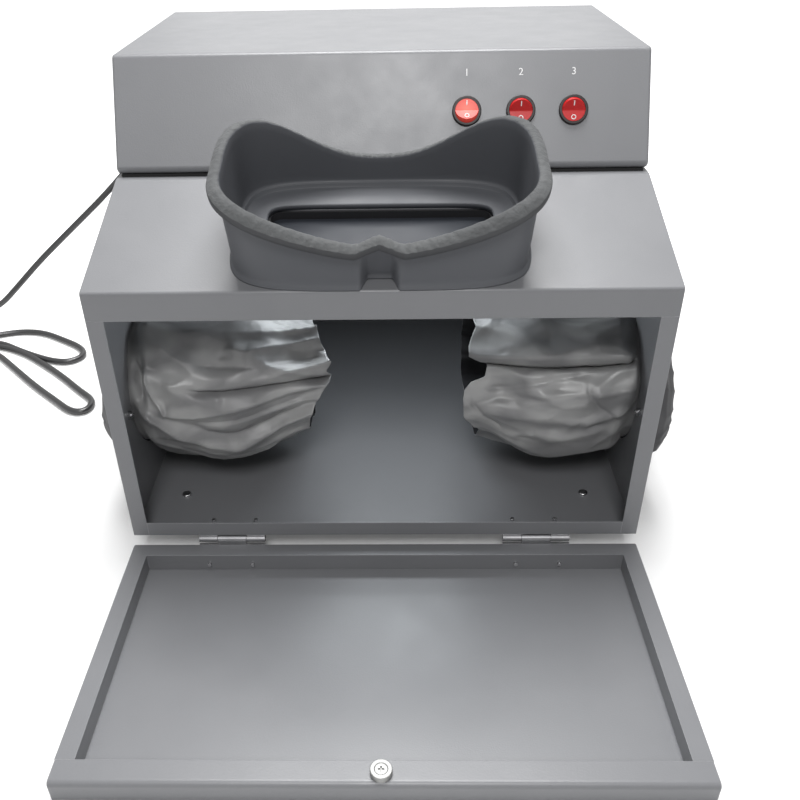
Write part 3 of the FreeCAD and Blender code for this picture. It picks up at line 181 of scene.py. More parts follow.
def superellipse(turn: np.ndarray, wide: float, deep: float, power: float) -> np.ndarray:
    """The radius of a squared oval: (|cos / wide|^n + |sin / deep|^n)^(-1 / n)."""
    return (np.abs(np.cos(turn) / wide) ** power
            + np.abs(np.sin(turn) / deep) ** power) ** (-1 / power)


def surface(name: str, points: np.ndarray, around: bool = False, along: bool = False,
            caps: tuple[bool, bool] = (False, False),
            size: tuple[float, float] = (1.0, 1.0)) -> bpy.types.Object:
    """Make a smooth mesh from a grid of points: each cell of the grid is one four-sided face.

    Args:
        name: the piece's name.
        points: an array of rows by columns by three, in the cabinet's millimetres.
        around: the columns close on themselves.
        along: the rows close on themselves.
        caps: close the first and the last row with one face.
        size: the grid's real length along its columns and rows, in metres, for its UV map.

    Returns:
        The new piece.
    """
    rows, columns = points.shape[:2]
    index = np.arange(rows * columns).reshape(rows, columns)
    down = np.concatenate([index, index[:1]]) if along else index
    grid = np.concatenate([down, down[:, :1]], axis=1) if around else down
    faces = np.stack([grid[:-1, :-1], grid[:-1, 1:], grid[1:, 1:], grid[1:, :-1]], axis=-1)
    steps = np.stack(np.meshgrid(np.arange(grid.shape[0] - 1), np.arange(grid.shape[1] - 1),
                                 indexing="ij"), axis=-1).reshape(-1, 2)
    face_list = faces.reshape(-1, 4).tolist()
    corners = np.array([[0, 0], [0, 1], [1, 1], [1, 0]])
    uv = (steps[:, None, :] + corners[None]) / [grid.shape[0] - 1, grid.shape[1] - 1]
    uv = (uv[..., ::-1] * np.array(size)).reshape(-1, 2)
    if caps[0]:
        face_list.append(index[0, ::-1].tolist())
    if caps[1]:
        face_list.append(index[-1].tolist())
    mesh = bpy.data.meshes.new(name)
    mesh.from_pydata(SITE.frame(points).reshape(-1, 3).tolist(), [], face_list)
    loops = len(mesh.loops)
    flat = np.zeros((loops, 2))
    flat[:len(uv)] = uv[:loops]
    mesh.uv_layers.new(name="lay").data.foreach_set("uv", flat.ravel())
    mesh.polygons.foreach_set("use_smooth", [True] * len(mesh.polygons))
    outward(mesh)
    return link(mesh, name)


def outward(mesh: bpy.types.Mesh) -> None:
    """Point a mesh's faces outward.

    Args:
        mesh: the mesh, changed in place.
    """
    shell = bmesh.new()
    shell.from_mesh(mesh)
    bmesh.ops.recalc_face_normals(shell, faces=shell.faces)
    shell.to_mesh(mesh)
    shell.free()
    mesh.update()


def lathe(name: str, profile: np.ndarray, steps: int, centre: np.ndarray,
          axis: np.ndarray) -> bpy.types.Object:
    """Turn a profile about an axis: every profile point goes round a circle of its radius.

    Args:
        name: the piece's name.
        profile: rows of distance along the axis and radius.
        steps: points round the circle.
        centre: where the axis starts.
        axis: its direction.

    Returns:
        The new piece, with both ends closed.
    """
    axis = np.asarray(axis, dtype=float) / np.linalg.norm(axis)
    first = np.cross(axis, [0.0, 0.0, 1.0] if abs(axis[2]) < 0.9 else [1.0, 0.0, 0.0])
    first /= np.linalg.norm(first)
    second = np.cross(axis, first)
    turn = circle(steps)
    ring = np.cos(turn)[:, None] * first + np.sin(turn)[:, None] * second
    points = (np.asarray(centre) + profile[:, None, :1] * axis
              + profile[:, None, 1:2] * ring[None])
    return surface(name, points, around=True, caps=(profile[0, 1] > 0, profile[-1, 1] > 0))


def thicken(cloth: bpy.types.Object, inner: int = 0) -> None:
    """Give a cloth surface its wall, inward from its outer face.

    Args:
        cloth: the piece.
        inner: how many material slots on from the outer face's the inner face's finish is.
    """
    wall = cloth.modifiers.new("cloth_thickness", "SOLIDIFY")
    wall.thickness = CLOTH_WALL * MM
    wall.offset = -1.0
    wall.material_offset = inner


# Shader groups

class Wiring:
    """Adds nodes to a node tree and wires them up."""

    def __init__(self, tree: bpy.types.NodeTree) -> None:
        """Start work on a tree."""
        self.tree = tree

    def node(self, kind: str, **settings: object) -> bpy.types.Node:
        """Add a node.

        Args:
            kind: its type.
            settings: its properties, by name.

        Returns:
            The node.
        """
        made = self.tree.nodes.new(kind)
        for key, value in settings.items():
            setattr(made, key, value)
        return made

    def wire(self, source: object, target: bpy.types.NodeSocket) -> None:
        """Feed one socket.

        Args:
            source: another socket, or a plain value.
            target: the socket that takes it.
        """
        if isinstance(source, bpy.types.NodeSocket):
            self.tree.links.new(source, target)
        else:
            target.default_value = source

    def feed(self, fed: bpy.types.Node, inputs: dict[str | int, object]) -> bpy.types.Node:
        """Feed several inputs of a node.

        Args:
            fed: the node.
            inputs: another node's socket or a plain value for each input, by name or number.

        Returns:
            The node.
        """
        for name, source in inputs.items():
            self.wire(source, fed.inputs[name])
        return fed

    def effect(self, effect: Effect, inputs: dict[str, object]) -> bpy.types.Node:
        """Place a shared shader group with values of its own."""
        return self.feed(self.node("ShaderNodeGroup", node_tree=EFFECTS.get(effect)), inputs)

    def maths(self, operation: str, first: object, second: object) -> bpy.types.NodeSocket:
        """Work out one value from two."""
        made = self.node("ShaderNodeMath", operation=operation)
        return self.feed(made, {0: first, 1: second}).outputs[0]

    def vectors(self, operation: str, inputs: dict[str | int, object]) -> bpy.types.Node:
        """Add a Vector Math node, whose result is its first output or the one named Value."""
        return self.feed(self.node("ShaderNodeVectorMath", operation=operation), inputs)

    def noise(self, vector: object, scale: object, detail: float,
              rough: float) -> bpy.types.NodeSocket:
        """Add a noise pattern and return its value."""
        inputs = {"Vector": vector, "Scale": scale, "Detail": detail, "Roughness": rough}
        return self.feed(self.node("ShaderNodeTexNoise"), inputs).outputs[0]

    def spread(self, value: object, low: object, high: object, out_low: object,
               out_high: object, shape: str = "LINEAR") -> bpy.types.NodeSocket:
        """Map a value from one range to another, held at the ends."""
        made = self.node("ShaderNodeMapRange", interpolation_type=shape)
        return self.feed(made, dict(enumerate((value, low, high, out_low, out_high)))).outputs[0]

    def mix(self, share: object, first: object, second: object) -> bpy.types.NodeSocket:
        """Blend two colours by a share."""
        made = self.node("ShaderNodeMix", data_type="RGBA")
        return self.feed(made, {0: share, 6: first, 7: second}).outputs[2]

    def relief(self, height: object, depth: object, normal: object,
               strength: float = 1.0) -> bpy.types.NodeSocket:
        """Turn a height pattern into a surface normal, its depth in metres."""
        inputs = {"Strength": strength, "Distance": depth, "Height": height, "Normal": normal}
        return self.feed(self.node("ShaderNodeBump"), inputs).outputs[0]


class GroupBuilder(Wiring):
    """Lays out one shader node group with named sockets."""

    def __init__(self, name: str) -> None:
        """Start an empty group."""
        super().__init__(bpy.data.node_groups.new(name, "ShaderNodeTree"))
        self.inner = self.node("NodeGroupInput")
        self.outer = self.node("NodeGroupOutput")

    def takes(self, name: str, kind: str, value: object) -> bpy.types.NodeSocket:
        """Add an input socket.

        Args:
            name: its name.
            kind: its type.
            value: its usual value, if it has one.

        Returns:
            The socket as the group's nodes see it.
        """
        socket = self.tree.interface.new_socket(name, in_out="INPUT", socket_type=kind)
        if value is not None:
            socket.default_value = value
        return self.inner.outputs[name]

    def gives(self, name: str, kind: str, source: bpy.types.NodeSocket) -> None:
        """Add an output socket fed from a node inside."""
        self.tree.interface.new_socket(name, in_out="OUTPUT", socket_type=kind)
        self.tree.links.new(source, self.outer.inputs[name])


class Effect(Enum):
    """The shader groups that finishes share."""

    GRAIN = "fine_grain"
    BRUSHED = "drawn_lines"
    CREASED = "cloth_creases"
    EDGES = "softened_edges"
    GLOW = "lamp_glow"


class Effects:
    """Builds each shared shader group once."""

    def __init__(self) -> None:
        """Start with no group built."""
        self.built: dict[Effect, bpy.types.NodeTree] = {}

    def get(self, effect: Effect) -> bpy.types.NodeTree:
        """Return a group, building it the first time.

        Args:
            effect: which group.

        Returns:
            The group's node tree.
        """
        if effect not in self.built:
            makers = {
                Effect.GRAIN: self.grain,
                Effect.BRUSHED: self.brushed,
                Effect.CREASED: self.creased,
                Effect.EDGES: self.edges,
                Effect.GLOW: self.glow,
            }
            self.built[effect] = makers[effect]()
        return self.built[effect]

    @staticmethod
    def common(group: GroupBuilder) -> dict[str, bpy.types.NodeSocket]:
        """Add the inputs that every surface pattern takes.

        Args:
            group: the group.

        Returns:
            Each input's socket by its name.
        """
        inputs = {
            "Colour": ("NodeSocketColor", (0.5, 0.5, 0.5, 1)),
            "Shade": ("NodeSocketColor", (0.4, 0.4, 0.4, 1)),
            "Roughness": ("NodeSocketFloat", 0.5),
            "Spread": ("NodeSocketFloat", 0.1),
            "Scale": ("NodeSocketFloat", 900.0),
            "Depth": ("NodeSocketFloat", 0.0001),
            "Normal": ("NodeSocketVector", None),
        }
        return {name: group.takes(name, *settings) for name, settings in inputs.items()}

    @staticmethod
    def deliver(group: GroupBuilder, take: dict[str, bpy.types.NodeSocket],
                colour: bpy.types.NodeSocket,
                wear: tuple[bpy.types.NodeSocket, float, float],
                normal: bpy.types.NodeSocket) -> bpy.types.NodeTree:
        """Add the outputs that every surface pattern gives.

        Args:
            group: the group.
            take: its inputs.
            colour: the colour it gives.
            wear: the pattern that makes the gloss uneven, and the range of it that counts.
            normal: the surface normal it gives.

        Returns:
            The group's node tree.
        """
        rough = group.maths("ADD", take["Roughness"], take["Spread"])
        group.gives("Colour", "NodeSocketColor", colour)
        group.gives("Roughness", "NodeSocketFloat",
                    group.spread(*wear, take["Roughness"], rough))
        group.gives("Normal", "NodeSocketVector", normal)
        return group.tree

    def grain(self) -> bpy.types.NodeTree:
        """Mottled colour, uneven gloss and a fine pebbled relief on Object coordinates.

        Returns:
            The group's node tree.
        """
        group = GroupBuilder(Effect.GRAIN.value)
        take = self.common(group)
        place = group.node("ShaderNodeTexCoord").outputs["Object"]
        broad = group.noise(place, 9.0, 4.0, 0.55)
        fine = group.noise(place, take["Scale"], 2.0, 0.5)
        smear = group.noise(place, 34.0, 3.0, 0.6)
        cloud = group.maths("MULTIPLY", group.spread(broad, 0.35, 0.65, 0.0, 1.0), 0.6)
        speck = group.spread(fine, 0.4, 0.62, 0.0, 0.35)
        colour = group.mix(group.maths("MAXIMUM", cloud, speck), take["Colour"], take["Shade"])
        normal = group.relief(fine, take["Depth"], take["Normal"])
        return self.deliver(group, take, colour, (smear, 0.3, 0.7), normal)

    def brushed(self) -> bpy.types.NodeTree:
        """Long fine lines along x, as drawn or ground metal has.

        Returns:
            The group's node tree.
        """
        group = GroupBuilder(Effect.BRUSHED.value)
        take = self.common(group)
        place = group.node("ShaderNodeTexCoord").outputs["Object"]
        drawn = group.feed(group.node("ShaderNodeMapping"),
                           {"Vector": place, "Scale": (0.03, 1.0, 1.0)})
        lines = group.noise(drawn.outputs[0], take["Scale"], 3.0, 0.6)
        broad = group.spread(group.noise(place, 60.0, 3.0, 0.6), 0.35, 0.7, 0.0, 1.0)
        colour = group.mix(broad, take["Colour"], take["Shade"])
        normal = group.relief(lines, take["Depth"], take["Normal"])
        return self.deliver(group, take, colour, (lines, 0.3, 0.7), normal)

    def creased(self) -> bpy.types.NodeTree:
        """A close weave on the piece's UV map under shallow creases on Object coordinates, with
        painted shade along the crease lines.

        Returns:
            The group's node tree.
        """
        group = GroupBuilder(Effect.CREASED.value)
        take = self.common(group)
        coordinates = group.node("ShaderNodeTexCoord").outputs
        place = coordinates["Object"]
        swirl = group.feed(group.node("ShaderNodeTexNoise"), {"Vector": place, "Scale": 30.0})
        push = group.vectors("SCALE", {0: swirl.outputs["Color"], "Scale": 0.02})
        pushed = group.vectors("ADD", {0: place, 1: push.outputs[0]})
        stretch = group.feed(group.node("ShaderNodeMapping"),
                             {"Vector": pushed.outputs[0], "Scale": (0.45, 1.0, 1.0)})
        cells = group.feed(group.node("ShaderNodeTexVoronoi", feature="SMOOTH_F1"),
                           {"Vector": stretch.outputs[0], "Scale": 46.0,
                            "Smoothness": 0.25}).outputs[0]
        weave = group.feed(group.node("ShaderNodeTexWave", wave_type="BANDS",
                                      bands_direction="DIAGONAL"),
                           {"Vector": coordinates["UV"], "Scale": take["Scale"]})
        creases = group.relief(cells, 0.0022, take["Normal"], 0.7)
        threads = group.relief(weave.outputs[1], take["Depth"], creases, 0.5)
        broad = group.spread(group.noise(place, 24.0, 3.0, 0.5), 0.35, 0.65, 0.0, 0.4)
        # painted shade: the cells' borders, the crease lines, take the darker shade colour
        crease_painted_shade = group.spread(cells, 0.34, 0.66, 0.0, 1.0)
        colour = group.mix(group.maths("MAXIMUM", broad, crease_painted_shade), take["Colour"],
                           take["Shade"])
        return self.deliver(group, take, colour, (cells, 0.0, 0.6), threads)

    @staticmethod
    def edges() -> bpy.types.NodeTree:
        """Rounded normals at hard edges, and a mask of where they are.

        Returns:
            The group's node tree.
        """
        group = GroupBuilder(Effect.EDGES.value)
        radius = group.takes("Radius", "NodeSocketFloat", 0.0008)
        rounded = group.feed(group.node("ShaderNodeBevel", samples=4), {"Radius": radius})
        facing = group.node("ShaderNodeNewGeometry").outputs["Normal"]
        dot = group.vectors("DOT_PRODUCT", {0: rounded.outputs[0], 1: facing})
        mask = group.spread(dot.outputs["Value"], 0.995, 0.8, 0.0, 1.0)
        group.gives("Normal", "NodeSocketVector", rounded.outputs[0])
        group.gives("Mask", "NodeSocketFloat", mask)
        return group.tree

    @staticmethod
    def glow() -> bpy.types.NodeTree:
        """A warm spot that fades with distance from a centre.

        Returns:
            The group's node tree.
        """
        group = GroupBuilder(Effect.GLOW.value)
        inner = group.takes("Inner", "NodeSocketColor", (1.0, 0.8, 0.6, 1))
        outer = group.takes("Outer", "NodeSocketColor", (0.8, 0.05, 0.03, 1))
        centre = group.takes("Centre", "NodeSocketVector", None)
        radius = group.takes("Radius", "NodeSocketFloat", 0.008)
        place = group.node("ShaderNodeTexCoord").outputs["Object"]
        distance = group.vectors("DISTANCE", {0: place, 1: centre})
        share = group.spread(distance.outputs["Value"], 0.0, radius, 0.0, 1.0)
        group.gives("Colour", "NodeSocketColor", group.mix(share, inner, outer))
        return group.tree


EFFECTS = Effects()


# Finishes

@dataclass(frozen=True)
class Finish:
    """One finish: a shared pattern group with this material's own values and shader settings.

    The edges' radius is in millimetres. The glow's centre and radius are in metres.
    """

    name: str
    colour: tuple[float, float, float]
    shade: tuple[float, float, float]
    roughness: float = 0.5
    spread: float = 0.1
    scale: float = 900.0
    depth: float = 0.00005
    pattern: Effect = Effect.GRAIN
    metallic: float = 0.0
    specular: float = 0.5
    coat: float = 0.0
    coat_roughness: float = 0.12
    sheen: float = 0.0
    sheen_roughness: float = 0.4
    transmission: float = 0.0
    edge_radius: float = 0.0
    # painted highlight: a lighter colour laid along hard edges for the light caught on the bends
    painted_edge_highlight: tuple[float, float, float] | None = None
    glow: tuple[float, float, float] | None = None
    glow_centre: tuple[float, float, float] = (0.0, 0.0, 0.0)
    glow_radius: float = 0.0095
    glow_strength: float = 0.0

    def build(self) -> bpy.types.Material:
        """Make the Blender material.

        Returns:
            The material, with its shader in place and its pattern in a group.
        """
        material = bpy.data.materials.new(self.name)
        material.use_nodes = True
        layout = Wiring(material.node_tree)
        shader = material.node_tree.nodes["Principled BSDF"]
        pattern = layout.effect(self.pattern, {
            "Colour": (*self.colour, 1), "Shade": (*self.shade, 1), "Roughness": self.roughness,
            "Spread": self.spread, "Scale": self.scale, "Depth": self.depth,
        })
        colour = pattern.outputs["Colour"]
        if self.edge_radius > 0:
            edge = layout.effect(Effect.EDGES, {"Radius": self.edge_radius * MM})
            normal = edge.outputs["Normal"]
            # painted highlight: the edges' mask blends the lighter edge colour in
            if self.painted_edge_highlight is not None:
                colour = layout.mix(edge.outputs["Mask"], colour, (*self.painted_edge_highlight, 1))
        else:
            normal = layout.node("ShaderNodeNewGeometry").outputs["Normal"]
        layout.wire(normal, pattern.inputs["Normal"])
        layout.feed(shader, {
            "Base Color": colour, "Roughness": pattern.outputs["Roughness"],
            "Normal": pattern.outputs["Normal"], "Metallic": self.metallic,
            "Specular IOR Level": self.specular, "Coat Weight": self.coat,
            "Coat Roughness": self.coat_roughness, "Sheen Weight": self.sheen,
            "Sheen Roughness": self.sheen_roughness, "Transmission Weight": self.transmission,
        })
        if self.glow is not None:
            lamp = layout.effect(Effect.GLOW, {
                "Inner": (*self.glow, 1), "Outer": (*self.colour, 1),
                "Centre": self.glow_centre, "Radius": self.glow_radius,
            })
            layout.feed(shader, {"Emission Color": lamp.outputs["Colour"],
                                 "Emission Strength": self.glow_strength})
        return material


class Palette:
    """Every finish on the object, built once each."""

    def __init__(self) -> None:
        """Set out the finishes by name."""
        self.finishes = {
            # The paint's hard edges carry a painted highlight in a lighter colour.
            "paint": Finish("cabinet_paint", (0.2, 0.203, 0.213), (0.183, 0.186, 0.196), 0.31,
                            0.08, 1000.0, 0.00006, edge_radius=0.7,
                            painted_edge_highlight=(0.36, 0.363, 0.375)),
            "black_paint": Finish("black_paint", (0.02, 0.02, 0.022), (0.03, 0.03, 0.032), 0.5,
                                  0.1, 1200.0, 0.00003, edge_radius=0.4),
            "window_glass": Finish("window_glass", (0.034, 0.038, 0.047), (0.028, 0.032, 0.04),
                                   0.38, 0.12, 20.0, 0.0, specular=0.28),
            "filter_glass": Finish("filter_glass", (0.02, 0.008, 0.03), (0.015, 0.006, 0.025),
                                   0.06, 0.05, 20.0, 0.0, transmission=0.2),
            "seal": Finish("seal_rubber", (0.012, 0.012, 0.013), (0.02, 0.02, 0.02), 0.8, 0.1,
                           700.0, 0.00008),
            "mask": Finish("mask_rubber", (0.104, 0.108, 0.118), (0.088, 0.092, 0.102), 0.46, 0.12,
                           1100.0, 0.00004, specular=0.38),
            "mask_rim": Finish("mask_rim", (0.125, 0.129, 0.131), (0.055, 0.057, 0.06), 0.72,
                               0.15, 270.0, 0.001, specular=0.3, sheen=0.1),
            # painted shade: the rim's outer lip is coloured darker than the wall, for the shadow
            # under the bead
            "mask_lip_painted_shade": Finish("mask_lip_painted_shade", (0.05, 0.051, 0.055), (0.065, 0.067, 0.071), 0.55,
                               0.12, 500.0, 0.0001, specular=0.4),
            "foot": Finish("foot_rubber", (0.015, 0.015, 0.015), (0.025, 0.025, 0.025), 0.7,
                           0.1, 600.0, 0.0001, edge_radius=0.5),
            # The creased cloths' shade colour is partly random tone and partly painted shade along
            # the crease lines.
            "cloth": Finish("coated_cloth", (0.33, 0.33, 0.328), (0.19, 0.19, 0.193), 0.28,
                            0.14, 900.0, 0.00004, Effect.CREASED, specular=0.6, sheen=0.1),
            # painted shade: the sleeves' inner face is near black for the shadow inside the tube
            "sleeve_inside_shade": Finish("sleeve_inside_painted_shade", (0.014, 0.014, 0.016), (0.022, 0.022, 0.024), 0.6,
                             0.14, 900.0, 0.00004, Effect.CREASED, specular=0.3),
            "cuff_cloth": Finish("cuff_cloth", (0.05, 0.05, 0.053), (0.035, 0.035, 0.038), 0.5,
                                 0.14, 900.0, 0.00004, Effect.CREASED, specular=0.3),
            "steel": Finish("bright_steel", (0.62, 0.62, 0.63), (0.5, 0.5, 0.51), 0.22, 0.12,
                            700.0, 0.00002, metallic=1.0, edge_radius=0.2),
            "hinge": Finish("hinge_steel", (0.36, 0.36, 0.37), (0.29, 0.29, 0.3), 0.38, 0.15,
                            1200.0, 0.00003, Effect.BRUSHED, metallic=1.0, edge_radius=0.2),
            "magnet": Finish("magnet_nickel", (0.36, 0.36, 0.352), (0.28, 0.28, 0.275), 0.5, 0.1,
                             900.0, 0.00003, metallic=1.0, edge_radius=0.25),
            "bezel": Finish("switch_black", (0.014, 0.011, 0.011), (0.02, 0.015, 0.015), 0.36,
                            0.1, 500.0, 0.00002, specular=0.35),
            "rocker_lit": Finish("rocker_lit", (0.56, 0.035, 0.025), (0.48, 0.026, 0.02), 0.34,
                                 0.08, 500.0, 0.00002, glow=(1.0, 0.42, 0.27),
                                 glow_strength=0.36),
            "rocker_red": Finish("rocker_red", (0.54, 0.012, 0.013), (0.46, 0.009, 0.01), 0.3,
                                 0.08, 500.0, 0.00002, specular=0.35),
            "print": Finish("white_print", (0.82, 0.82, 0.82), (0.74, 0.74, 0.74), 0.55, 0.1,
                            800.0, 0.00002),
            "bright": Finish("bright_sheet", (0.78, 0.78, 0.79), (0.7, 0.7, 0.71), 0.25, 0.12,
                             900.0, 0.00002, Effect.BRUSHED, metallic=1.0),
            "tube_dark": Finish("tube_glass", (0.08, 0.06, 0.14), (0.06, 0.05, 0.11), 0.08,
                                0.05, 90.0, 0.0, coat=0.5),
            "tube_white": Finish("tube_white_glass", (0.82, 0.82, 0.82), (0.76, 0.76, 0.76),
                                 0.2, 0.06, 90.0, 0.0, coat=0.3),
            "holder": Finish("holder_plastic", (0.7, 0.7, 0.67), (0.62, 0.62, 0.6), 0.42, 0.1,
                             700.0, 0.00004, edge_radius=0.4),
            "ballast": Finish("ballast_steel", (0.5, 0.5, 0.5), (0.42, 0.42, 0.42), 0.4, 0.12,
                              500.0, 0.00005, Effect.BRUSHED, metallic=0.6, edge_radius=0.5),
            "lead": Finish("lead_rubber", (0.02, 0.02, 0.021), (0.028, 0.028, 0.029), 0.3,
                           0.1, 800.0, 0.00003, specular=0.9),
            "tie": Finish("tie_plastic", (0.02, 0.02, 0.02), (0.03, 0.03, 0.03), 0.5, 0.1,
                          900.0, 0.00004),
        }
        self.made: dict[str, bpy.types.Material] = {}

    def get(self, name: str) -> bpy.types.Material:
        """Return a finish's material, building it the first time.

        Args:
            name: the finish.

        Returns:
            Its material.
        """
        if name not in self.made:
            self.made[name] = self.finishes[name].build()
        return self.made[name]

    def add(self, name: str, finish: Finish) -> None:
        """Add a finish under a name."""
        self.finishes[name] = finish

    def dress(self, piece: bpy.types.Object, name: str) -> None:
        """Give the whole of a piece one finish.

        Args:
            piece: the piece.
            name: the finish.
        """
        material = self.get(name)
        if not piece.material_slots:
            piece.data.materials.append(material)
        for slot in piece.material_slots:
            slot.material = material
        LOG.info("%s in %s", piece.name, name)


# Sub-assemblies

@dataclass
class Solids:
    """Solids that stay as they are and get their finishes."""

    coats: dict[str, tuple[str, ...]] = field(default_factory=dict)

    def dress(self, frame: dict, palette: Palette) -> None:
        """Give each solid its finish.

        Args:
            frame: the loaded frame.
            palette: the finishes.
        """
        for finish, nodes in self.coats.items():
            for node in nodes:
                palette.dress(frame["nodes"][node], finish)


@dataclass
class FoldedBody(Solids):
    """The sheet-metal cabinet, housing and door, with their hinges and screws."""

    coats: dict[str, tuple[str, ...]] = field(default_factory=lambda: {
        "paint": ("cabinet_floor", "cabinet_side_left", "cabinet_side_right", "hood_panel",
                  "lamp_deck", "housing_cover", "back_panel", "door_skin", "door_rim",
                  "door_front_bar"),
        "black_paint": ("window_frame", "port_ring_left", "port_ring_right"),
        "window_glass": ("viewing_glass",),
        "seal": ("housing_seal",),
        "foot": ("rubber_feet",),
        "steel": ("foot_screws", "back_screws", "port_screws", "hinge_screws_cabinet",
                  "hinge_screws_door", "hinge_pins"),
        "hinge": ("hinge_leaves_cabinet", "hinge_leaves_door"),
        "magnet": ("door_magnet", "magnet_screw"),
    })


@dataclass
class LampTray(Solids):
    """The lamps, filters and electrics inside the housing."""

    coats: dict[str, tuple[str, ...]] = field(default_factory=lambda: {
        "filter_glass": ("filter_short_wave", "filter_long_wave"),
        "bright": ("filter_clips", "reflectors"),
        "tube_dark": ("tube_short_wave", "tube_long_wave"),
        "tube_white": ("tube_white",),
        "steel": ("tube_caps",),
        "holder": ("tube_holders", "terminal_block"),
        "ballast": ("ballasts",),
    })


@dataclass
class BarPlugs:
    """The pressed-in plugs that close both ends of the door's front bar."""

    wall: float = 1.35
    sunk: float = 1.5
    deep: float = 8.0
    dome: float = 0.5
    squareness: float = 6.0
    steps: int = 64

    def build(self, palette: Palette) -> None:
        """Carry a squared oval along x, then close it over a low dome.

        Each row has its own share of the opening, its rise on the dome, and its distance back
        from the plug's front.

        Args:
            palette: the finishes.
        """
        low, high = (np.array(corner) / MM - SITE.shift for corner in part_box("door_front_bar"))
        middle, half = (low + high) / 2, (high - low) / 2
        turn = circle(self.steps)
        ring = superellipse(turn, 1.0, 1.0, self.squareness)
        rows = np.array([
            (0.9, 0.0, self.deep), (0.97, 0.0, self.deep - 0.3), (1.0, 0.0, self.deep - 1.5),
            (1.0, 0.0, 0.6), (0.99, 0.0, 0.2), (0.96, 0.3, 0.0), (0.9, 0.6, 0.0),
            (0.72, 0.85, 0.0), (0.45, 0.97, 0.0), (0.2, 1.0, 0.0)])
        share, rise, back = rows.T[:, :, None]
        inset = back + self.sunk - self.dome * rise
        for side in Side:
            x = side.value * (half[0] - inset) + middle[0]
            y = middle[1] + share * (half[1] - self.wall) * ring * np.cos(turn)
            z = middle[2] + share * (half[2] - self.wall) * ring * np.sin(turn)
            points = np.stack([np.broadcast_to(x, y.shape), y, z], axis=-1)
            plug = surface(f"bar_plug_{side.name.lower()}", points, around=True,
                           caps=(True, True))
            palette.dress(plug, "paint")
            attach(plug, "door")


